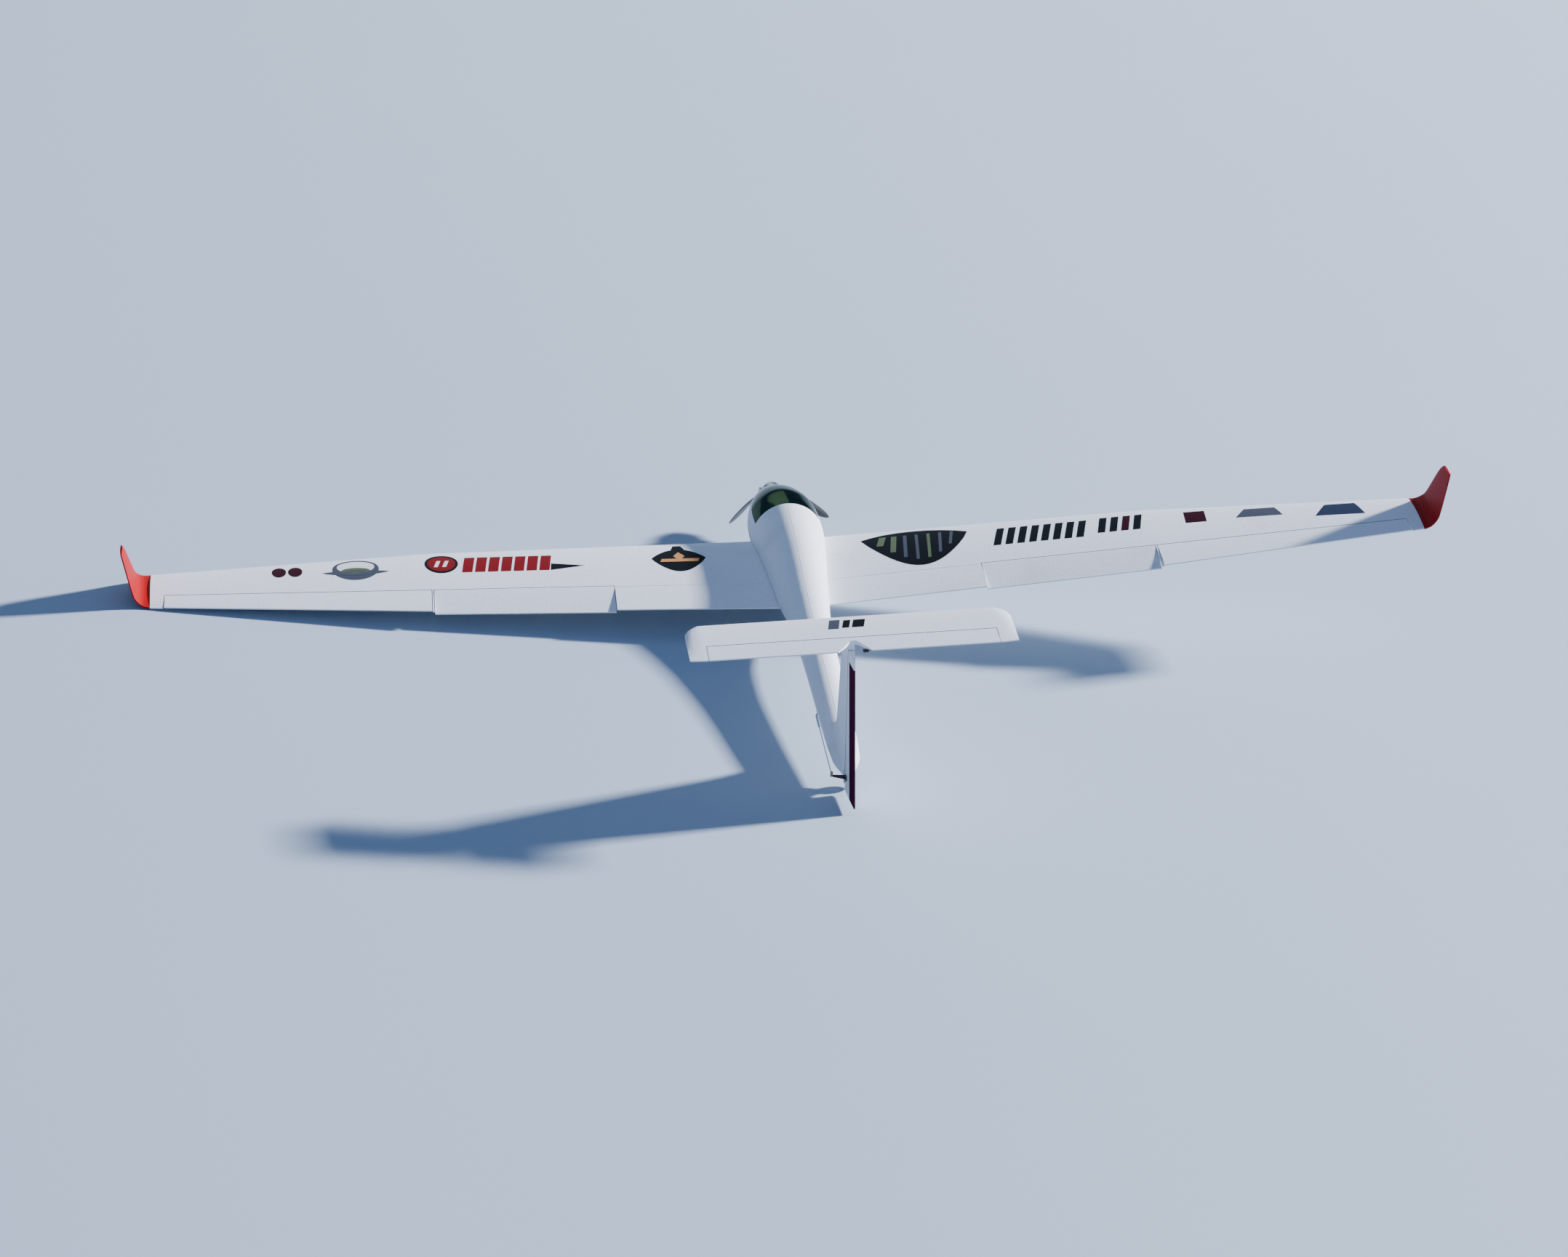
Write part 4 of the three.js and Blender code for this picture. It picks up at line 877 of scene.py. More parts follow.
@cache
def aerofoil_tree():
    """Geometry nodes for a lifting surface: sections swept along a line of stations.

    Each station is a point with its lead, trail, thickness and lean. A ring of points runs round
    each section from the blunt trailing edge over the top to the nose and back underneath.
    """
    tree, given = new_tree("aerofoil_sweep", (
        ("Section points", "NodeSocketInt", 65),
        ("Stations", "NodeSocketInt", 60),
        ("Rounded", "NodeSocketBool", False),
        ("Camber", "NodeSocketFloat", 0.0),
        ("Trailing half", "NodeSocketFloat", TRAILING_HALF),
    ))
    line = node(tree, "GeometryNodeMeshToCurve", {"Mesh": given["Geometry"]})
    smooth = node(tree, "GeometryNodeCurveSplineType", {"Curve": line}, spline_type="CATMULL_ROM")
    choice = {"Switch": given["Rounded"], "False": line, "True": smooth}
    chosen = node(tree, "GeometryNodeSwitch", choice, input_type="GEOMETRY")
    spaced = node(tree, "GeometryNodeResampleCurve", {"Curve": chosen, "Count": given["Stations"]})
    ring = node(tree, "GeometryNodeCurvePrimitiveCircle", {"Resolution": given["Section points"]})
    known = {label: given[label] for label in ("Section points", "Camber", "Trailing half")}
    known["order"] = node(tree, "GeometryNodeInputIndex")
    for label in ("lead", "trail", "thickness", "lean", "around"):
        inputs = {"Name": label}
        known[label] = node(tree, "GeometryNodeInputNamedAttribute", inputs, data_type="FLOAT")
    # Each row is a result, an operation and its values; a word stands for an earlier result.
    for result, operation, *values in (
        # From -1 to 1 round the ring.
        ("last", "SUBTRACT", "Section points", 1.0),
        ("round", "DIVIDE", "order", "last"),
        ("round", "MULTIPLY", "round", 2.0),
        ("round", "SUBTRACT", "round", 1.0),
        # Share of the chord, with close points at the nose and the trailing edge.
        ("sine", "ABSOLUTE", "around"),
        ("sine", "MULTIPLY", "sine", math.pi / 2),
        ("sine", "SINE", "sine"),
        ("share", "MULTIPLY", "sine", "sine"),
        ("chord", "SUBTRACT", "lead", "trail"),
        # Half thickness, as section_point gives it.
        ("shape", "MULTIPLY_ADD", "share", -0.1036, 0.2843),
        ("shape", "MULTIPLY_ADD", "shape", "share", -0.3516),
        ("shape", "MULTIPLY_ADD", "shape", "share", -0.126),
        ("shape", "MULTIPLY", "shape", "share"),
        ("shape", "MULTIPLY_ADD", "sine", 0.2969, "shape"),
        ("shape", "MULTIPLY", "shape", 5.0),
        ("bulk", "MULTIPLY", "thickness", "chord"),
        ("bulk", "MULTIPLY", "shape", "bulk"),
        ("half", "MULTIPLY", "share", "Trailing half"),
        ("half", "ADD", "bulk", "half"),
        # Mean line.
        ("arch", "SUBTRACT", 1.0, "share"),
        ("arch", "MULTIPLY", "share", "arch"),
        ("arch", "MULTIPLY", "arch", 4.0),
        ("mean", "MULTIPLY", "Camber", "chord"),
        ("mean", "MULTIPLY", "arch", "mean"),
        # Offsets of the point from its station.
        ("side", "SIGN", "around"),
        ("rise", "MULTIPLY_ADD", "side", "half", "mean"),
        ("sideways", "SINE", "lean"),
        ("sideways", "MULTIPLY", "sideways", -1.0),
        ("sideways", "MULTIPLY", "sideways", "rise"),
        ("upwards", "COSINE", "lean"),
        ("upwards", "MULTIPLY", "upwards", "rise"),
        ("back", "MULTIPLY", "share", "chord"),
        ("back", "MULTIPLY_ADD", "back", -1.0, "lead"),
    ):
        inputs = {i: known.get(value, value) for i, value in enumerate(values)}
        known[result] = node(tree, "ShaderNodeMath", inputs, operation=operation)
    stored = {"Geometry": spaced, "Name": "base", "Value": node(tree, "GeometryNodeInputPosition")}
    path = node(tree, "GeometryNodeStoreNamedAttribute", stored, data_type="FLOAT_VECTOR")
    stored = {"Geometry": ring, "Name": "around", "Value": known["round"]}
    profile = node(tree, "GeometryNodeStoreNamedAttribute", stored, data_type="FLOAT")
    sweep = {"Curve": path, "Profile Curve": profile, "Fill Caps": True}
    swept = node(tree, "GeometryNodeCurveToMesh", sweep)
    offset = {k: known[label] for k, label in enumerate(("sideways", "back", "upwards"))}
    offset = node(tree, "ShaderNodeCombineXYZ", offset)
    inputs = {"Name": "base"}
    base = node(tree, "GeometryNodeInputNamedAttribute", inputs, data_type="FLOAT_VECTOR")
    spot = node(tree, "ShaderNodeVectorMath", {0: base, 1: offset}, operation="ADD")
    formed = node(tree, "GeometryNodeSetPosition", {"Geometry": swept, "Position": spot})
    return close_tree(tree, given, formed)


def lifting_surface(stations, count, camber=0.0, rounded=False):
    """A closed surface over stations of x, z, lead, trail, thickness and lean in degrees."""
    line = path_of([(s[0], 0, s[1]) for s in stations])
    for column, label in enumerate(("lead", "trail", "thickness", "lean"), start=2):
        values = [math.radians(s[column]) if label == "lean" else s[column] for s in stations]
        line.attributes.new(label, "FLOAT", "POINT").data.foreach_set("value", values)
    return outwards(grow(aerofoil_tree(), line, {
        "Section points": bpy.context.scene.sailplane_sizes.chord_points,
        "Stations": count,
        "Rounded": rounded,
        "Camber": camber,
        "Trailing half": TRAILING_HALF,
        "Finish": finish("foam"),
    }))


@cache
def repeat_tree():
    """Geometry nodes that set one small part on every point, turned as the point says."""
    tree, given = new_tree("repeat_on_points", (
        ("Part", "NodeSocketObject", None),
        ("Size", "NodeSocketFloat", 1.0),
    ))
    turns = {"Name": "turn"}
    spread = node(tree, "GeometryNodeInstanceOnPoints", {
        "Points": given["Geometry"],
        "Instance": node(tree, "GeometryNodeObjectInfo", {"Object": given["Part"]}, "Geometry"),
        "Rotation": node(tree, "GeometryNodeInputNamedAttribute", turns, data_type="QUATERNION"),
        "Scale": given["Size"],
    })
    return close_tree(tree, given, spread)


def repeated(part, places, size=1.0):
    """One small part on every (point, direction of its own z) of a list, as one plain mesh."""
    points = bpy.data.meshes.new("places")
    points.from_pydata([tuple(p) for p, _ in places], [], [])
    turns = [c for _, aim in places for c in Vector(aim).to_track_quat("Z", "Y")]
    points.attributes.new("turn", "QUATERNION", "POINT").data.foreach_set("value", turns)
    holder = carried(part)
    made = grow(repeat_tree(), points, {"Part": holder, "Size": size, "Finish": finish("steel")})
    bpy.data.objects.remove(holder)
    return made


@cache
def wire_tree():
    """Geometry nodes that draw a round wire along a path and round its bends."""
    tree, given = new_tree("wire_on_path", (
        ("Radius", "NodeSocketFloat", ROD_RADIUS),
        ("Bend", "NodeSocketFloat", 1.5),
        ("Sides", "NodeSocketInt", 20),
    ))
    line = node(tree, "GeometryNodeMeshToCurve", {"Mesh": given["Geometry"]})
    bends = {"Curve": line, "Count": 6, "Radius": given["Bend"], "Limit Radius": True}
    bent = node(tree, "GeometryNodeFilletCurve", bends, mode="POLY")
    circle = {"Resolution": given["Sides"], "Radius": given["Radius"]}
    ring = node(tree, "GeometryNodeCurvePrimitiveCircle", circle)
    sweep = {"Curve": bent, "Profile Curve": ring, "Fill Caps": True}
    return close_tree(tree, given, node(tree, "GeometryNodeCurveToMesh", sweep))


def wire(points, radius=ROD_RADIUS, bend=1.5, sides=20):
    """A round wire through points, as one plain closed mesh."""
    values = {"Radius": radius, "Bend": bend, "Sides": sides, "Finish": finish("steel")}
    return outwards(grow(wire_tree(), path_of(points), values))


def screws(places, size):
    """Small pan heads with a cross recess, 1.2 mm in radius times a size, at a list of places."""
    profile = [(0, 0.75), (0.5, 0.72), (0.95, 0.5), (1.2, 0.1), (1.2, -0.5), (0, -0.5)]
    bars = [block((-u, -v, 0.4), (u, v, 1)) for u, v in ((0.7, 0.14), (0.14, 0.7))]
    return repeated(cut(lathe(profile, (0, 0, 0), UP, 20), "DIFFERENCE", *bars), places, size)


def vent_mark():
    """The witness of a steam vent of the mould: a faint slotted disc, 5 mm across."""
    profile = [(0, -0.2), (0, 0.02), (1.95, 0.02), (2.2, 0.16), (2.5, 0.1), (2.5, -0.2)]
    bar = block((-1.9, -0.22, -0.1), (1.9, 0.22, 0.14))
    return joined(lathe(profile, (0, 0, 0), UP, 16), bar)


class SAILPLANE_OT_fuselage(bpy.types.Operator):
    """One smooth foam moulding of pod, boom and fin, with its bay, bore, slot and servo pocket"""

    bl_idname = "sailplane.fuselage"
    bl_label = "Fuselage and fin"

    def execute(self, context):
        gap = context.scene.sailplane_sizes.groove
        stations = []
        for z, forward, swell in FIN_FLARE:
            lead, trail, thickness = along(FIN, z)
            stations.append((0, z, lead + forward, trail, thickness + swell, -90))
        (low, half_low), (high, half_high) = fin_hinge(RUDDER_FROM), fin_hinge(RUDDER_TO)
        under_tail = TAIL_Z - section_half(0.3) * TAIL_THICK * (TAIL_LEAD - TAIL_TRAIL) - SEAT
        fin = cut(
            lifting_surface(stations, 100),
            "DIFFERENCE",
            wedge(fin_hinge(FIN[0][0])[0], fin_hinge(FIN[-1][0])[0], 0, 50),
            rod(low - UP * 20, high + UP * END_GAP, half_low + gap, half_high + gap, 48),
            round_tail(-100, FIN_FOOT),
            round_tail(under_tail, 300),
        )
        outline = rounded_outline(BAY_HALF, (BAY_FRONT - BAY_REAR) / 2, BAY_CORNER)
        middle = (0, (BAY_FRONT + BAY_REAR) / 2, BAY_FLOOR)
        bay = prism(outline, middle, RIGHT, NOSEWARD, UP * (BAY_TOP - BAY_FLOOR))
        front, box = FUSELAGE[0][0], WHEEL_BOX
        bore = (0, front - MOTOR_BORE_DEPTH, HUB.z), (0, front + 5, HUB.z)
        bore = rod(*bore, MOTOR_BORE, sides=64)
        slot = (-box["half"], box["rear"], -100), (box["half"], box["front"], box["roof"])
        slot = block(*grown(*slot))
        pod = cut(fuselage_skin(), "DIFFERENCE", above_sill(CANOPY_REAR, 0), bay, bore, slot)
        whole = cut(cut(pod, "UNION", fin), "DIFFERENCE", block(*grown(*fin_servo_box())))
        place("fuselage_moulding", whole, "foam", node_name="fuselage")
        # The two half shells are glued along the centreline, which leaves a fine raised seam.
        seams = []
        for column, sunk, start, end in SEAMS:
            spots = np.linspace(start, end, 60)
            line = [(0, y, monotone(FUSELAGE, column, y) + sunk) for y in spots]
            seams.append(wire(line, SEAM_RADIUS, 0, 12))
        place("fuselage_seams", joined(*seams), "foam")
        return {"FINISHED"}


class SAILPLANE_OT_canopy(bpy.types.Operator):
    """The glossy dome and the tray bonded under it"""

    bl_idname = "sailplane.canopy"
    bl_label = "Canopy"

    def execute(self, context):
        rear = CANOPY_REAR + SEAT
        dome = cut(fuselage_skin(), "INTERSECT", above_sill(rear, SEAT))
        inside = above_sill(rear + CANOPY_WALL, -20)
        hollow = cut(fuselage_skin(CANOPY_WALL), "INTERSECT", inside)
        shell = cut(dome, "DIFFERENCE", hollow)
        place("canopy_shell", shell, "canopy", "canopy", node_name="canopy_dome")
        layer = above_sill(rear + CANOPY_WALL + SEAT, SEAT, SEAT + TRAY_THICK)
        tray = cut(fuselage_skin(CANOPY_WALL + SEAT), "INTERSECT", layer)
        place("canopy_base", tray, "black_plastic", "canopy", node_name="canopy_tray")
        return {"FINISHED"}


class SAILPLANE_OT_wings(bpy.types.Operator):
    """Wing panels, winglets, flaps and ailerons of both sides"""

    bl_idname = "sailplane.wings"
    bl_label = "Wings"

    def execute(self, context):
        sizes = context.scene.sailplane_sizes
        stations = [(x, x * WING_DIHEDRAL, lead, trail, thick, 0) for x, lead, trail, thick in WING]
        panel = lifting_surface(stations, 99, WING_CAMBER)
        panel = cut(panel, "DIFFERENCE", fuselage_skin(-SEAT))
        # The mould's crease runs on from the flap's hinge line to the root.
        crease = []
        for x in np.linspace(CREASE_FROM, FLAP[0] - 1, 24):
            y = wing_hinge(x)[0].y
            crease.append((x, y, wing_skin(x, y) + CREASE_RISE))
        panel = cut(panel, "DIFFERENCE", wire(crease, CREASE_RADIUS, 0, 12))
        for label, (start, end, droop) in (("flap", FLAP), ("aileron", AILERON)):
            ends = (wing_hinge(start), wing_hinge(end))
            panel, moving, at, axis = hinge_split(panel, ends, sizes.groove)
            moving = turned(moving, at, axis, droop)
            pair(f"{label}_foam", moving, "foam", label, node_name=label)
        for _, x, ahead, _ in WING_SERVOS:
            panel = cut(panel, "DIFFERENCE", block(*grown(*wing_servo_box(x, ahead))))
        pair("wing_panel", panel, "foam", node_name="wing")
        tip_z = WING[-1][0] * WING_DIHEDRAL
        rows = [(x, tip_z + z, *rest) for x, z, *rest in WINGLET]
        winglet = lifting_surface(rows, 40, rounded=True)
        pair("winglet_foam", winglet, "red_foam", node_name="winglet")
        if sizes.vents:
            vents = []
            for x in range(VENT_SPACING, VENT_END, VENT_SPACING):
                lead, trail, _ = along(WING, x)
                for share in VENT_SHARES:
                    y = lead - share * (lead - trail)
                    vents.append(((x, y, wing_skin(x, y, -1)), -UP))
            pair("vent_marks", repeated(vent_mark(), vents), "foam")
        return {"FINISHED"}


def wing_servo_box(x, ahead):
    """Corners of a servo case let into the right wing's underside."""
    middle = wing_hinge(x)[0].y + ahead
    low_z = wing_skin(x, middle, -1) - SERVO_PROUD
    return (
        (x - SERVO_WIDTH / 2, middle - SERVO_LENGTH / 2, low_z),
        (x + SERVO_WIDTH / 2, middle + SERVO_LENGTH / 2, low_z + SERVO_HEIGHT),
    )


def fin_servo_box():
    """Corners of the servo case let into the fin's right side."""
    half_y, half_z = SERVO_LENGTH / 2, SERVO_WIDTH / 2
    return (
        (FIN_SERVO_LEFT, FIN_SERVO_Y - half_y, FIN_SERVO_Z - half_z),
        (FIN_SERVO_LEFT + SERVO_HEIGHT, FIN_SERVO_Y + half_y, FIN_SERVO_Z + half_z),
    )


class SAILPLANE_OT_tail(bpy.types.Operator):
    """Tailplane with rounded tips, elevator with its notch, and rudder with its trailing strip"""

    bl_idname = "sailplane.tail"
    bl_label = "Tail"

    def execute(self, context):
        gap = context.scene.sailplane_sizes.groove
        right = []
        for k in range(9):
            # Towards the tip the lead sweeps back along a quarter round and the section thins.
            t = math.sin(math.pi / 2 * k / 8)
            drop = 1 - math.sqrt(max(1 - t * t, 0))
            x = TAIL_HALF + (TAIL_TIP - TAIL_HALF) * t
            lead = TAIL_LEAD + (TIP_LEAD - TAIL_LEAD) * (0.45 * t + 0.55 * drop)
            trail = TAIL_TRAIL + (TIP_TRAIL - TAIL_TRAIL) * t
            right.append((x, TAIL_Z, lead, trail, TAIL_THICK * (1 - 0.55 * drop), 0))
        rows = [(-x, *rest) for x, *rest in reversed(right)] + right
        ends = (tail_hinge(-ELEVATOR_HALF), tail_hinge(ELEVATOR_HALF))
        fixed, elevator, _, _ = hinge_split(lifting_surface(rows, 95), ends, gap)
        notch = [(NOTCH_HALF, TAIL_TRAIL - 20), (NOTCH_HALF, TAIL_TRAIL), (NOTCH_FLAT, NOTCH_FRONT)]
        notch += [(-x, y) for x, y in reversed(notch)]
        notch = prism(notch, (0, 0, TAIL_Z - 20), RIGHT, NOSEWARD, UP * 40)
        elevator = cut(elevator, "DIFFERENCE", notch)
        place("tailplane_foam", fixed, "foam", node_name="tailplane")
        place("elevator_foam", elevator, "foam", "elevator", node_name="elevator")
        rows = [(0, z, lead, trail, thick, -90) for z, lead, trail, thick in FIN]
        ends = (fin_hinge(RUDDER_FROM), fin_hinge(RUDDER_TO))
        _, rudder, _, _ = hinge_split(lifting_surface(rows, 60), ends, gap)
        place("rudder_foam", rudder, "foam", "rudder", node_name="rudder")
        # Dark tape folded round the trailing edge, stopping short of the top.
        strip = []
        for z in np.linspace(RUDDER_FROM + TAPE_FOOT, RUDDER_TO - TAPE_HEAD, 24):
            lead, trail, thickness = along(FIN, z)
            near = half_at(lead, trail, thickness, trail + TAPE_WRAP) + TAPE_THICK
            edge = half_at(lead, trail, thickness, trail) + TAPE_THICK
            front, back = trail + TAPE_WRAP, trail - 0.25
            strip.append([(-near, front, z), (-edge, back, z), (edge, back, z), (near, front, z)])
        place("rudder_edge_tape", loft(strip), "cloth_tape", "rudder", "foam")
        return {"FINISHED"}


class SAILPLANE_OT_propeller(bpy.types.Operator):
    """Turned spinner, yoke, two folding blades and the motor behind them"""

    bl_idname = "sailplane.propeller"
    bl_label = "Propeller"

    def execute(self, context):
        place("spinner_cone", spinner(), "aluminium", "propeller_hub", node_name="spinner")
        pin = HUB + RIGHT * BLADE_PIVOT
        boss = softened(rod(pin - UP * BOSS_HALF, pin + UP * BOSS_HALF, BOSS_RADIUS, sides=40), 0.5)
        hole = rod(pin - UP * 20, pin + UP * 20, BOSS_BORE, sides=32)
        blade = cut(cut(blade_skin(), "UNION", boss), "DIFFERENCE", hole)
        folded = turned(blade, pin, -UP, BLADE_FOLD)
        for side, mesh in (("right", folded), ("left", turned(folded, HUB, NOSEWARD, 180))):
            names = f"blade_{side}", "black_plastic", f"propeller_blade_{side}"
            place(f"blade_moulding_{side}", mesh, "carbon_nylon", *names)
        heads = []
        for s, e in ((-1, -1), (-1, 1), (1, -1), (1, 1)):
            heads.append((HUB + Vector((s * BLADE_PIVOT, 0, e * PIN_HALF)), UP * e))
        place("blade_pin_heads", screws(heads, 1.2), "steel", "propeller_hub")
        for holder in frame["nodes"]["propeller_yoke"].material_slots:
            holder.material = finish("aluminium")
        # The motor is a turned can with cooling grooves between its two bells.
        r, length = MOTOR_RADIUS, MOTOR_LENGTH
        can = [(0, 0), (r - 2, 0), (r, 2), (r, 9)]
        for y in (9, 12, 15, 18):
            can += [(r - 0.8, y + 0.4), (r - 0.8, y + 1.9), (r, y + 2.3), (r, y + 3)]
        can += [(r, length - 2), (r - 2, length), (0, length)]
        motor = lathe(can, (0, MOTOR_BACK, HUB.z), NOSEWARD)
        place("motor_can", motor, "steel", node_name="motor")
        return {"FINISHED"}


def spinner():
    """A turned cone with a slot for the yoke and its blades, and a hole for the shaft."""
    steps, cone = 24, SPINNER_LENGTH - SPINNER_PLATE
    profile = [(0, 0), (SPINNER_RADIUS, 0), (SPINNER_RADIUS, SPINNER_PLATE)]
    for t in (k / steps for k in range(1, steps)):
        radius = SPINNER_RADIUS * math.cos(t * math.pi / 2) ** 0.75
        profile.append((radius, SPINNER_PLATE + cone * t))
    profile.append((0, SPINNER_PLATE + cone))
    low, high, wide = HUB.z - SPINNER_SLOT, HUB.z + SPINNER_SLOT, 30
    plate = SPINNER_BACK + SPINNER_PLATE
    behind, ahead = SPINNER_BACK - 1, plate + 1
    return cut(
        lathe(profile, (0, SPINNER_BACK, HUB.z), NOSEWARD, 96),
        "DIFFERENCE",
        block((-wide, plate, low), (wide, SLOT_FRONT, high)),
        block((-wide, behind, low), (-SPINNER_CORE, ahead, high)),
        block((SPINNER_CORE, behind, low), (wide, ahead, high)),
        rod((0, behind, HUB.z), (0, ahead, HUB.z), SHAFT_BORE),
    )


def blade_skin():
    """The right blade, straight out from the hub: twisted sections with a round tip."""
    rings, root, tip = [], BLADE[0][0], BLADE[-1][0]
    table = [(-radius, *rest) for radius, *rest in BLADE]
    for k in range(49):
        r = root + (tip - root) * k / 48
        chord, pitch, thick = (monotone(table, column, -r) for column in (1, 2, 3))
        left = (tip - r) / BLADE_TIP
        chord *= 1 if left >= 1 else max(math.sqrt(1 - (1 - left) ** 2), 0.22)
        angle = math.radians(pitch)
        wide = Vector((0, math.sin(angle), math.cos(angle)))
        deep = Vector((0, math.cos(angle), -math.sin(angle)))
        centre = HUB + RIGHT * r
        rings.append([
            centre + wide * (chord / 2 * u) + deep * (chord * thick / 2 * v)
            for u, v in arc(0, 0, 1, 0, 360, 28)[:-1]
        ])
    return loft(rings)


class SAILPLANE_OT_wheels(bpy.types.Operator):
    """Main wheel in its box and tail wheel in its bracket: rubber tyres on white nylon hubs"""

    bl_idname = "sailplane.wheels"
    bl_label = "Wheels"

    def execute(self, context):
        for label, wheel in (("main", MAIN_WHEEL), ("tail", TAIL_WHEEL)):
            body = f"{label}_wheel"
            tyre, hub = tyre_and_hub(wheel)
            place(f"{label}_tyre", tyre, "tyre", body, node_name=body)
            place(f"{label}_hub", hub, "white_nylon", body)
        y, z = MAIN_WHEEL["y"], MAIN_WHEEL["z"]
        half, wall, rear, front, roof = WHEEL_BOX.values()
        outer = block((-half, rear, -100), (half, front, roof))
        inside = block((wall - half, rear + wall, -110), (half - wall, front - wall, roof - wall))
        well = cut(cut(outer, "INTERSECT", fuselage_skin()), "DIFFERENCE", softened(inside, 3, 4))
        well = cut(well, "UNION", rod((0.5 - half, y, z), (half - 0.5, y, z), MAIN_AXLE))
        place("wheel_well", well, "black_plastic", node_name="wheel_box")
        ring = [(MAIN_AXLE, 0), (2.9, 0), (3.1, 0.3), (3.1, 1.9), (MAIN_AXLE, 2.2)]
        collars = [lathe(ring, (s * COLLAR_X, y, z), RIGHT * s, 32) for s in (-1, 1)]
        place("main_axle_collars", joined(*collars), "aluminium", slot="black_plastic")
        place("tail_bracket", tail_bracket(), "black_plastic", node_name="tail_wheel_bracket")
        out = TAIL_WHEEL["hub_half"] + BRACKET["gap"] + BRACKET["cheek"] - 0.2
        heads = [((s * out, TAIL_WHEEL["y"], TAIL_WHEEL["z"]), RIGHT * s) for s in (-1, 1)]
        place("tail_axle_heads", screws(heads, 0.9), "steel")
        return {"FINISHED"}


def tyre_and_hub(wheel):
    """A round tyre with three grooves, and a hub with six holes in its sunk web."""
    radius, tyre, half = wheel["radius"], wheel["tyre"], wheel["hub_half"]
    centre, rim = (0, wheel["y"], wheel["z"]), radius - 1.6 * tyre
    ring = []
    for k in range(33):
        angle = math.radians(-125 + 250 * k / 32)
        depth = tyre - (0.05 * tyre if k in (12, 16, 20) else 0)
        ring.append((radius - tyre + depth * math.cos(angle), depth * math.sin(angle)))
    ring += [(rim - 0.3, half * 0.8), (rim - 0.3, -half * 0.8)]
    step, web = rim * 0.45, half * 0.7
    side = [
        (wheel["bore"], half), (step, half), (step + 0.1 * rim, web), (rim * 0.85, web),
        (rim * 0.92, half), (rim, half),
    ]
    hub = lathe([(r, -x) for r, x in side] + side[::-1], centre, RIGHT)
    spots = arc(wheel["y"], wheel["z"], 0.68 * rim, 0, 360, 6)[:-1]
    holes = [rod((-20, y, z), (20, y, z), 0.14 * rim) for y, z in spots]
    return lathe(ring, centre, RIGHT, 96), cut(hub, "DIFFERENCE", *holes)


def tail_bracket():
    """The moulded fork under the boom: a foot, two rounded cheeks and the axle between them."""
    y, z, ahead, behind = TAIL_WHEEL["y"], TAIL_WHEEL["z"], BRACKET["ahead"], BRACKET["behind"]
    inner = TAIL_WHEEL["hub_half"] + BRACKET["gap"]
    boom, half = monotone(FUSELAGE, UNDERSIDE, y), inner + BRACKET["wide"]
    low_z = boom - BRACKET["deep"]
    foot = softened(block((-half, y - behind, low_z), (half, y + ahead, boom + 4)), 0.8, 3)
    body = cut(foot, "DIFFERENCE", fuselage_skin(-SEAT))
    outline = [(y + ahead - 0.8, low_z + 1), (y - behind + 0.8, low_z + 1)]
    outline += arc(y, z + 0.4, BRACKET["round"], 180, 180)
    for s in (-1, 1):
        cheek = prism(outline, (s * inner, 0, 0), NOSEWARD, UP, RIGHT * (s * BRACKET["cheek"]))
        body = cut(body, "UNION", softened(cheek, 0.35))
    return cut(body, "UNION", rod((-inner - 1, y, z), (inner + 1, y, z), TAIL_AXLE))


class SAILPLANE_OT_battery(bpy.types.Operator):
    """Battery in its sleeve, the strap over it and the plywood rails beside it"""

    bl_idname = "sailplane.battery"
    bl_label = "Battery"

    def execute(self, context):
        half, low, corner = BATTERY["half"], BAY_FLOOR + SEAT, BATTERY["corner"]
        top = low + BATTERY["height"]
        sleeve = block((-half, BATTERY["rear"], low), (half, BATTERY["front"], top))
        place("battery_pack", softened(sleeve, 3, 4), "battery_wrap", node_name="battery")
        inner, outer = (
            [(half + off, low + 0.2), *arc(half - corner, top - corner, corner + off, 0, 90, 6)]
            for off in (STRAP_INNER, STRAP_OUTER)
        )
        band = [*outer, *[(-u, v) for u, v in reversed(outer)]]
        band += [*[(-u, v) for u, v in inner], *reversed(inner)]
        strap = prism(band, (0, STRAP_REAR, 0), RIGHT, UP, NOSEWARD * STRAP_WIDE)
        place("battery_strap", strap, "strap", slot="black_plastic")
        rails = []
        for x in (-RAIL_X, RAIL_X):
            rear = (x - RAIL_HALF, BAY_REAR + 1, BAY_FLOOR)
            front = (x + RAIL_HALF, BAY_FRONT - 4, BAY_FLOOR + RAIL_TALL)
            rails.append(softened(block(rear, front), 0.5))
        place("battery_rails", joined(*rails), "ply", slot="foam")
        return {"FINISHED"}


class SAILPLANE_OT_linkages(bpy.types.Operator):
    """Servos, horns, rods with their stoppers, screws and the taped servo leads"""

    bl_idname = "sailplane.linkages"
    bl_label = "Servos and linkages"

    def execute(self, context):
        for row in WING_SERVOS:
            wing_linkage(*row)
        elevator_linkage()
        rudder_linkage()
        # Tape holds each servo's lead in its groove on the way to the root.
        underside, tapes = partial(wing_skin, side=-1), []
        for path in LEAD_TAPES:
            behind = [(x, y - LEAD_TAPE_HALF) for x, y in path]
            ahead = [(x, y + LEAD_TAPE_HALF) for x, y in reversed(path)]
            tapes.append(film(behind + ahead, underside, LEAD_TAPE_THICK, -1, 8))
        pair("servo_lead_tape", joined(*tapes), "clear_tape", slot="foam")
        return {"FINISHED"}


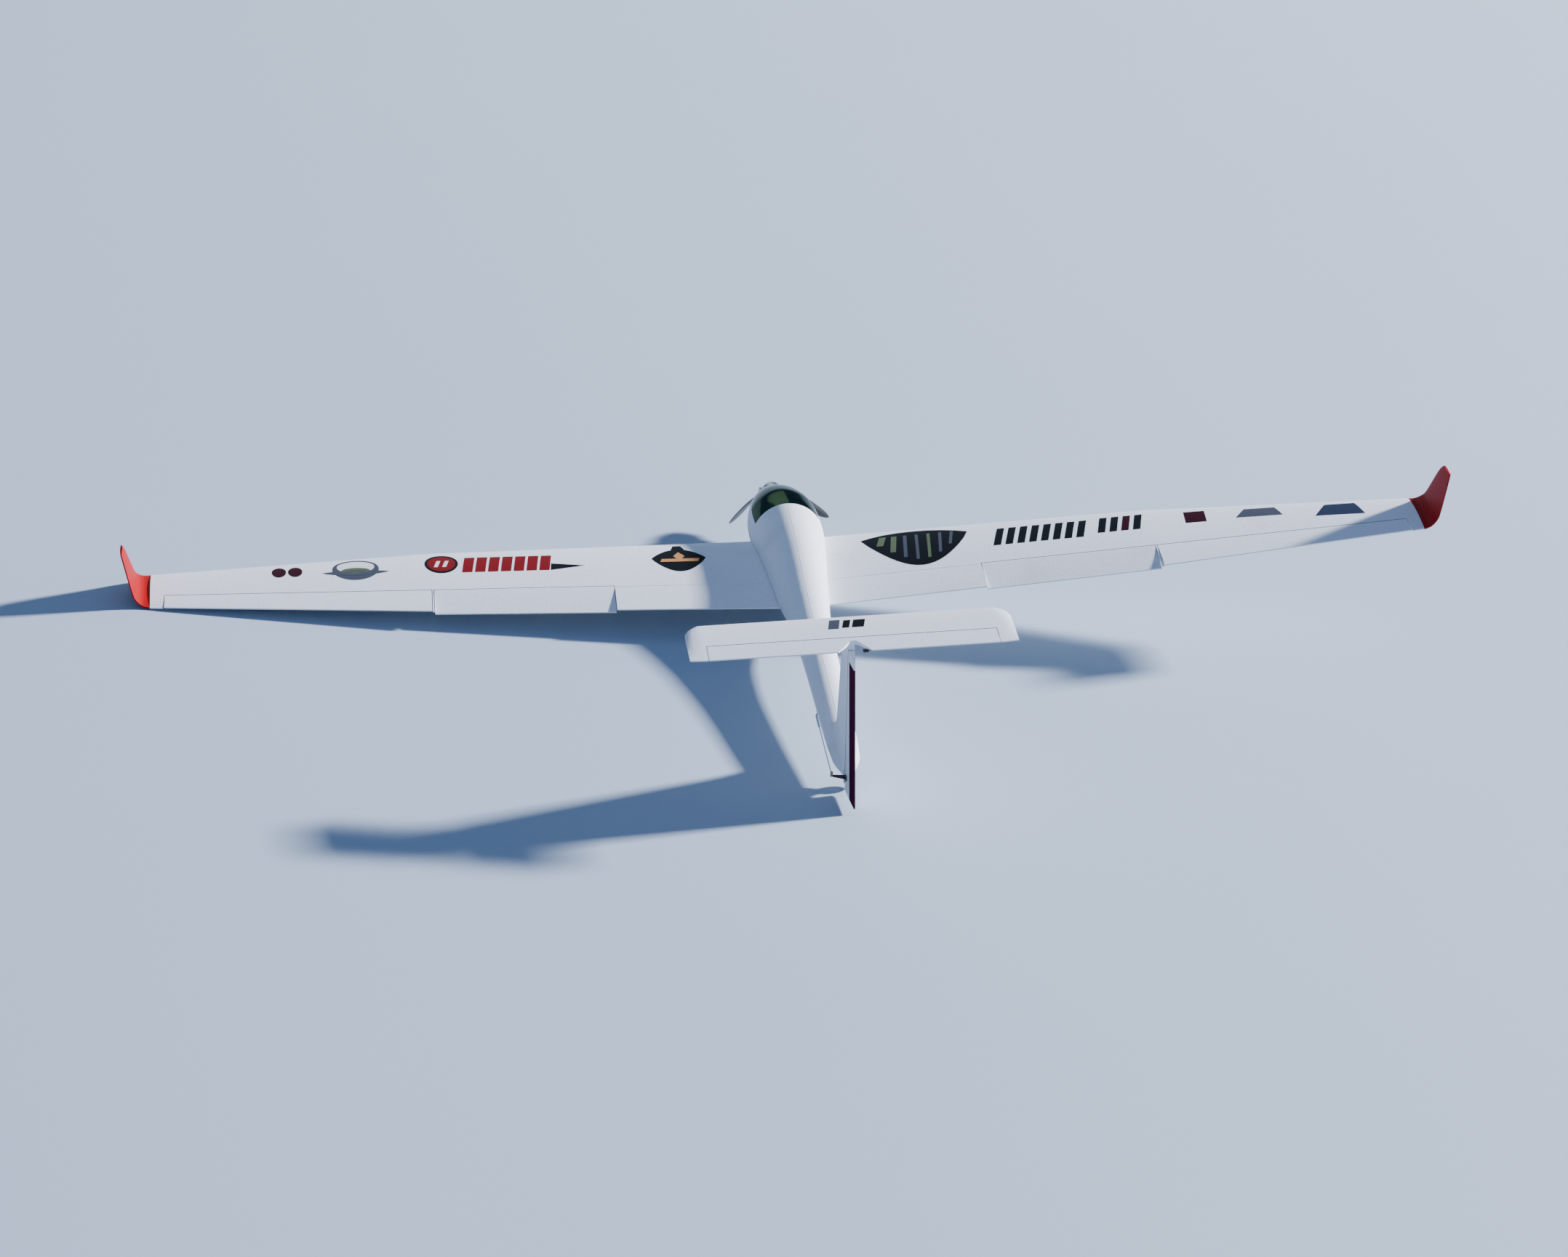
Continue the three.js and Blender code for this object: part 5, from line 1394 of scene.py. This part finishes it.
def wing_linkage(label, x, ahead, span):
    """One wing servo with its arm and rod, and the horn on its flap or aileron, on both sides."""
    low, high = wing_servo_box(x, ahead)
    at = wing_hinge(x)[0]
    start, end = wing_hinge(span[0])[0], wing_hinge(span[1])[0]
    axis, droop = (end - start).normalized(), span[2]
    arm_x, arm_z = x + SERVO_WIDTH / 2 - PLATE_THICK, low[2]
    arm_y = (low[1] + high[1]) / 2 - SERVO_LENGTH / 4
    arm = arm_plate((arm_x, arm_y, arm_z + 1), -UP, SERVO_ARM + 1)
    spindle = Vector((arm_x, arm_y, arm_z - 0.4))
    boss = rod(spindle - RIGHT * PLATE_THICK, spindle, 2.4)
    servo = joined(softened(block(low, high), 0.6), arm, boss)
    pair(f"{label}_servo_unit", servo, "servo_case", node_name=f"{label}_servo")
    arm_screw = screws([(spindle + RIGHT * PLATE_THICK, RIGHT)], 0.9)
    pair(f"{label}_arm_screw", arm_screw, "steel")
    skin_z = wing_skin(x, at.y - HORN_BASE / 2, -1) - SEAT
    tip_z = skin_z - HORN_REACH
    horn, horn_screws = screwed_horn(arm_x, at.y, skin_z, tip_z, 0.35)
    horn, horn_screws = (turned(mesh, start, axis, droop) for mesh in (horn, horn_screws))
    pair(f"{label}_horn_plate", horn, "black_plastic", label, node_name=f"{label}_horn")
    pair(f"{label}_horn_screws", horn_screws, "steel", label)
    rod_x, arm_end = arm_x + PLATE_THICK + ROD_ABREAST + ROD_RADIUS, arm_z - SERVO_ARM
    beyond = math.copysign(4.5, at.y - arm_y)
    slope = (tip_z - arm_end) / (at.y - arm_y)
    far = (rod_x, at.y + beyond, tip_z + beyond * slope)
    link = wire([(arm_x - 1.2, arm_y, arm_end), (rod_x, arm_y, arm_end), far])
    pair(f"{label}_wire", link, "steel", node_name=f"{label}_rod")
    pair(f"{label}_stopper", stopper((rod_x, at.y, tip_z), RIGHT), "brass", slot="steel")


def elevator_linkage():
    """The servo in the fin's right side, its rod, and the horn under the elevator."""
    low, high = fin_servo_box()
    arm_x, arm_y, reach = high[0], high[1] - 5.5, SERVO_ARM - 2
    arm = arm_plate((arm_x, arm_y, FIN_SERVO_Z), UP, reach)
    servo = joined(softened(block(low, high), 0.6), arm)
    place("elevator_servo_unit", servo, "servo_case", node_name="elevator_servo")
    arm_screw = screws([((arm_x + PLATE_THICK, arm_y, FIN_SERVO_Z), RIGHT)], 0.9)
    place("elevator_arm_screw", arm_screw, "steel")
    at, half = tail_hinge(0)
    under = TAIL_Z - half - SEAT
    tip_z = under - ELEVATOR_HORN_REACH
    horn, horn_screws = screwed_horn(ELEVATOR_HORN_X, at.y, under, tip_z, 1.2)
    place("elevator_horn_plate", horn, "black_plastic", "elevator", node_name="elevator_horn")
    place("elevator_horn_screws", horn_screws, "steel", "elevator")
    beside = ROD_ABREAST + ROD_RADIUS
    start = Vector((arm_x + PLATE_THICK + beside, arm_y, FIN_SERVO_Z + reach))
    end = Vector((ELEVATOR_HORN_X - beside, at.y, tip_z))
    link = wire([start - RIGHT * 3.2, start, end + (end - start).normalized() * 4])
    place("elevator_wire", link, "steel", node_name="elevator_rod")
    place("elevator_stopper", stopper(end, -RIGHT, 1.5), "black_plastic", slot="steel")


def rudder_linkage():
    """The rod along the boom's left side, its guide, and the horn low on the rudder."""
    at, half = fin_hinge(RUDDER_ROD_Z)
    x, z = RUDDER_ROD_X, RUDDER_ROD_Z - ROD_RADIUS - ROD_ABREAST - PLATE_THICK
    rear = at.y - HORN_BASE
    rear_half = half_at(*along(FIN, RUDDER_ROD_Z), rear)
    outline = [(-(half + SEAT), at.y - 1), (-(rear_half + 0.2), rear)]
    outline += arc(x, at.y, HORN_TIP, -80, -200)
    horn = softened(prism(outline, (0, 0, z), RIGHT, NOSEWARD, UP * PLATE_THICK), 0.2)
    spots = [x + 2.7 * k for k in range(3)]
    holes = [rod((u, at.y, z - 3), (u, at.y, z + 5), HORN_BORE) for u in spots]
    horn = cut(horn, "DIFFERENCE", *holes)
    outer = -(half + FOOT_THICK)
    low = (outer, rear + 0.5, z + FOOT_NEAR)
    foot = softened(block(low, (0.6 - rear_half, at.y - 3.5, z + FOOT_FAR)), 0.3)
    horn = joined(horn, foot)
    place("rudder_horn_plate", horn, "black_plastic", "rudder", node_name="rudder_horn")
    heads = [((outer, at.y - 8, z + FOOT_MIDDLE + s * SCREW_HALF), -RIGHT) for s in (-1, 1)]
    place("rudder_horn_screws", screws(heads, 0.8), "steel", "rudder")
    link = wire([(x, at.y - 4, RUDDER_ROD_Z), (x, RUDDER_ROD_FRONT, RUDDER_ROD_Z)])
    place("rudder_wire", link, "steel", node_name="rudder_rod")
    place("rudder_stopper", stopper((x, at.y, RUDDER_ROD_Z), UP), "brass", slot="steel")
    back, front = ROD_GUIDE_FRONT - ROD_GUIDE_LENGTH, ROD_GUIDE_FRONT
    path = [(x, back, RUDDER_ROD_Z), (x, front - 2, RUDDER_ROD_Z), (x + 5, front + 9, RUDDER_ROD_Z)]
    hole = rod((x, back - 5, RUDDER_ROD_Z), (x, front - 3, RUDDER_ROD_Z), ROD_GUIDE_BORE)
    guide = cut(wire(path, ROD_GUIDE_RADIUS, 6, 28), "DIFFERENCE", hole)
    place("rudder_wire_guide", guide, "white_nylon", node_name="rudder_rod_guide")


def stopper(spot, outward, size=1.0):
    """A barrel that clamps a rod beside a horn, with its grub screw's recess at the outer end."""
    outer = [(0, 4.4), (0.7, 4.4), (0.7, 5), (1.6, 5), (1.9, 4.7)]
    profile = [(0, -0.55), (1.6 * size, -0.55), (1.9 * size, -0.25)]
    profile += [(r * size, height * size) for r, height in reversed(outer)]
    return lathe(profile, spot, outward, 28)


def drilled(plate, spots, thick, radii):
    """A plate across a direction with a row of holes through it."""
    holes = [rod(p - thick * 3, p + thick * 5, r, sides=16) for p, r in zip(spots, radii)]
    return cut(plate, "DIFFERENCE", *holes)


def arm_plate(root, down, reach):
    """A servo arm: a tapered plate with a round end, its outermost rod hole at its reach."""
    outline = arc(0, 0, 2.6, 0, -180) + arc(0, reach, HORN_TIP, 180, -180)
    plate = softened(prism(outline, root, NOSEWARD, down, RIGHT * PLATE_THICK), 0.2)
    spots = [Vector(root) + down * (reach - 2.6 * k) for k in range(3)]
    return drilled(plate, spots, RIGHT, (0.9, 0.55, 0.55))


def screwed_horn(x, axis_y, skin_z, tip_z, sunk):
    """A control horn under a skin with its foot let into the foam; returns it and its screws.

    A broad foot is drawn in to a round tip under the hinge line, with three holes up from it.
    """
    outline = [(axis_y - HORN_BASE, skin_z), (axis_y - HORN_HEEL, skin_z)]
    outline += arc(axis_y, tip_z, HORN_TIP, 20, -210)
    plate = softened(prism(outline, (x, 0, 0), NOSEWARD, UP, RIGHT * PLATE_THICK), 0.2)
    middle_y, middle_z = ((outline[2][i] + outline[-1][i]) / 2 for i in (0, 1))
    spots = [Vector((x, middle_y - 1.1 * k, middle_z + 2.8 * k)) for k in range(3)]
    plate = drilled(plate, spots, RIGHT, (HORN_BORE,) * 3)
    under = skin_z - FOOT_THICK
    low = (x + FOOT_NEAR, axis_y - HORN_BASE + 0.5, under)
    foot = softened(block(low, (x + FOOT_FAR, axis_y - HORN_HEEL, skin_z + sunk)), 0.3)
    spots = [(x + FOOT_MIDDLE + s * SCREW_HALF, axis_y - 8.5, under) for s in (-1, 1)]
    return joined(plate, foot), screws([(spot, -UP) for spot in spots], 0.8)


def film(outline, skin, stand, side=1, spacing=4.0):
    """A thin closed film over an outline in plan: it follows a skin and stands a little off it.

    The skin gives the height over a place; the film is above it (1) or below (-1).
    """
    around = list(zip(outline, outline[1:] + outline[:1]))
    if sum(a[0] * b[1] - b[0] * a[1] for a, b in around) < 0:
        outline = outline[::-1]
        around = list(zip(outline, outline[1:] + outline[:1]))
    edge = []
    for (ax, ay), (bx, by) in around:
        steps = max(1, round(math.dist((ax, ay), (bx, by)) / spacing))
        edge += [(ax + (bx - ax) * k / steps, ay + (by - ay) * k / steps) for k in range(steps)]
    xs, ys = zip(*edge)
    inner = [
        (x, y)
        for x in np.arange(min(xs) + spacing / 2, max(xs), spacing)
        for y in np.arange(min(ys) + spacing / 2, max(ys), spacing)
        if min(math.dist((x, y), p) for p in edge) > spacing * 0.45
    ]
    spots, _, faces, *_ = delaunay_2d_cdt(
        [Vector(p) for p in edge + inner], [], [list(range(len(edge)))], 1, 1e-4
    )
    count, levels = len(spots), (stand, -FILM_SUNK)
    points = [(x, y, skin(x, y) + side * level) for level in levels for x, y in spots]
    rims = dict.fromkeys(ab for face in faces for ab in zip(face, face[1:] + face[:1]))
    walls = [(a + count, b + count, b, a) for a, b in rims if (b, a) not in rims]
    sheets = [tuple(f) for f in faces] + [tuple(i + count for i in reversed(f)) for f in faces]
    return mesh_of(points, sheets + walls)


def slab(x0, x1, y0, y1, lean=0.0):
    """Outline of a bar whose front edge leans along the span."""
    return [(x0, y0), (x1, y0), (x1 + lean, y1), (x0 + lean, y1)]


def oval(x, y, wide, deep, steps=36):
    """Outline of an oval with its half width and half depth."""
    return [(x + wide * u, y + deep * v) for u, v in arc(0, 0, 1, 0, 360, steps)[:-1]]


def lens(x0, x1, y, ahead, behind, steps=18):
    """Outline between two arcs that meet in points at both ends."""
    shares = [k / steps for k in range(steps + 1)]
    front = [(x1 + (x0 - x1) * t, y + ahead * 4 * t * (1 - t)) for t in shares]
    back = [(x0 + (x1 - x0) * t, y - behind * math.sin(math.pi * t) ** 0.8) for t in shares[1:-1]]
    return front + back


def sticker_rows():
    """Every printed shape: where it is, its colour, its layer and its outline in plan."""
    right = [
        ("dark", 0, lens(112, 284, 160, 22, 88)),
        ("maroon", 0, slab(630, 664, 118, 156, 4)),
        ("grey", 0, [(712, 121), (788, 118), (781, 147), (732, 149)]),
        ("navy", 0, [(838, 105), (918, 100), (910, 138), (862, 140)]),
    ]
    inks = ("olive", "olive", "grey", "grey", "olive", "grey", "grey")
    bars = zip((11, 9, 6, 5, 5, 5, 5), (136, 114, 97, 89, 91, 103, 124), inks)
    for k, (wide, back, ink) in enumerate(bars):
        right.append((ink, 1, slab(134 + 19 * k, 134 + 19 * k + wide, back, 166, 9)))
    # Two rows of slanted bars, the second shorter.
    for k in range(8):
        right.append(("dark", 0, slab(317 + 19 * k, 329 + 19 * k, 106, 159, 15)))
    for k, ink in enumerate(("dark", "dark", "maroon", "dark")):
        right.append((ink, 0, slab(486 + 19 * k, 498 + 19 * k, 113, 162, 13)))
    left = [
        ("maroon", 0, oval(-804, 129, 11, 16)),
        ("maroon", 0, oval(-779, 129, 11, 16)),
        ("grey", 0, oval(-686, 131, 36, 33)),
        ("pale", 1, oval(-686, 138, 29, 20)),
        ("olive", 2, oval(-686, 126, 22, 9)),
        ("grey", 2, lens(-738, -634, 121, 6, 10)),
        ("dark", 0, oval(-553, 139, 26, 30)),
        ("red", 1, oval(-553, 139, 22, 24)),
        ("pale", 2, slab(-565, -559, 128, 148, 5)),
        ("pale", 2, slab(-552, -546, 128, 148, 5)),
        ("dark", 0, [(-384, 110), (-329, 121), (-382, 130)]),
        *(("red", 0, slab(-522 + 20 * k, -506 + 20 * k, 110, 158, 6)) for k in range(7)),
        ("dark", 0, lens(-224, -138, 136, 30, 40)),
        ("dark", 0, [(-192, 160), (-168, 160), (-174, 182), (-186, 182)]),
        ("tan", 1, slab(-211, -151, 125, 134, 3)),
        ("tan", 1, oval(-180, 142, 9, 14, 4)),
    ]
    tailplane = [
        ("grey", 0, slab(-31, -16, -460, -435, 5)),
        ("dark", 0, slab(-11, -1, -458, -437, 5)),
        ("dark", 0, slab(3, 20, -458, -437, 5)),
    ]
    places = (("right", right), ("left", left), ("tailplane", tailplane))
    return [(where, *row) for where, rows in places for row in rows]


class SAILPLANE_OT_stickers(bpy.types.Operator):
    """Generic trim stickers on the wings and the tailplane"""

    bl_idname = "sailplane.stickers"
    bl_label = "Stickers"

    def execute(self, context):
        first, films = context.scene.sailplane_sizes.sticker, {}
        for where, ink, layer, outline in sticker_rows():
            skin = tailplane_skin if where == "tailplane" else wing_skin
            sheet = film(outline, skin, first + FILM_LAYER * layer)
            films.setdefault((ink, where), []).append(sheet)
        for (ink, where), sheets in films.items():
            place(f"sticker_{ink}_{where}", joined(*sheets), ink, slot="foam")
        return {"FINISHED"}


class SAILPLANE_OT_stage(bpy.types.Operator):
    """Pale floor, soft studio light and the camera"""

    bl_idname = "sailplane.stage"
    bl_label = "Stage"

    def execute(self, context):
        colour, things = context.scene.sailplane_finish.floor, context.scene.collection.objects
        corners = ((-1, -1), (1, -1), (1, 1), (-1, 1))
        corners = [(u * FLOOR_HALF, v * FLOOR_HALF, 0) for u, v in corners]
        mesh = bpy.data.meshes.new("studio_floor")
        mesh.from_pydata(corners, [], [(0, 1, 2, 3)])
        material, tree, shader, spot = surface("studio_paint", colour, 0.75)
        mottle = node(tree, "ShaderNodeTexNoise", {"Vector": spot, "Scale": 1.5, "Detail": 2.0})
        shade = node(tree, "ShaderNodeMapRange", {"Value": mottle, "To Min": 0.97, "To Max": 1.0})
        tint = {0: 1.0, 6: (*colour, 1), 7: shade}
        node(tree, "ShaderNodeMix", tint, COLOUR, shader["Base Color"], **SHADE)
        mesh.materials.append(material)
        floor = bpy.data.objects.new("studio_floor", mesh)
        things.link(floor)
        world = bpy.data.worlds.new("studio_air")
        world.use_nodes = True
        air = world.node_tree.nodes["Background"].inputs
        air["Color"].default_value = (*srgb(AIR_TINT), 1)
        air["Strength"].default_value = AIR_STRENGTH
        context.scene.world = world
        for label, spot, wide, power, tint in LAMPS:
            lamp = bpy.data.lights.new(f"softbox_{label}", "AREA")
            lamp.energy, lamp.size, lamp.color = power, wide, srgb(tint)
            holder = bpy.data.objects.new(f"softbox_{label}", lamp)
            holder.location, holder.rotation_euler = spot, looking(spot, LAMP_AIM).to_euler()
            things.link(holder)
        eye = bpy.data.cameras.new("photo_eye")
        eye.lens, eye.sensor_width = EYE_LENS, EYE_SENSOR
        camera = bpy.data.objects.new("photo_eye", eye)
        rolled = looking(EYE_PLACE, EYE_AIM) @ Quaternion(UP, math.radians(EYE_ROLL))
        camera.location, camera.rotation_euler = EYE_PLACE, rolled.to_euler()
        things.link(camera)
        context.scene.camera = camera
        return {"FINISHED"}


def looking(start, aim):
    """The turn that points a lamp or the camera at a place."""
    return (Vector(aim) - Vector(start)).to_track_quat("-Z", "Y")


class SAILPLANE_PT_pieces(bpy.types.Panel):
    """Lists the sailplane's pieces and their sizes and colours"""

    bl_idname = "SAILPLANE_PT_pieces"
    bl_label = "Foam sailplane"
    bl_space_type = "VIEW_3D"
    bl_region_type = "UI"
    bl_category = "Sailplane"

    def draw(self, context):
        for operator in STEPS:
            self.layout.operator(operator.bl_idname)
        for group in (context.scene.sailplane_sizes, context.scene.sailplane_finish):
            box = self.layout.box()
            for name in group.__annotations__:
                box.prop(group, name)


STEPS = (
    SAILPLANE_OT_stage,
    SAILPLANE_OT_fuselage,
    SAILPLANE_OT_canopy,
    SAILPLANE_OT_wings,
    SAILPLANE_OT_tail,
    SAILPLANE_OT_propeller,
    SAILPLANE_OT_wheels,
    SAILPLANE_OT_battery,
    SAILPLANE_OT_linkages,
    SAILPLANE_OT_stickers,
)
CLASSES = (SailplaneFinish, SailplaneSizes, *STEPS, SAILPLANE_PT_pieces)


def register():
    """Adds the classes and their settings to Blender."""
    for made in CLASSES:
        bpy.utils.register_class(made)
    bpy.types.Scene.sailplane_finish = PointerProperty(type=SailplaneFinish)
    bpy.types.Scene.sailplane_sizes = PointerProperty(type=SailplaneSizes)


def unregister():
    """Takes them out again."""
    del bpy.types.Scene.sailplane_sizes
    del bpy.types.Scene.sailplane_finish
    for made in reversed(CLASSES):
        bpy.utils.unregister_class(made)


def main():
    """Builds every piece in order."""
    register()
    for step in STEPS:
        group, name = step.bl_idname.split(".")
        getattr(getattr(bpy.ops, group), name)()


if __name__ == "__main__":
    main()
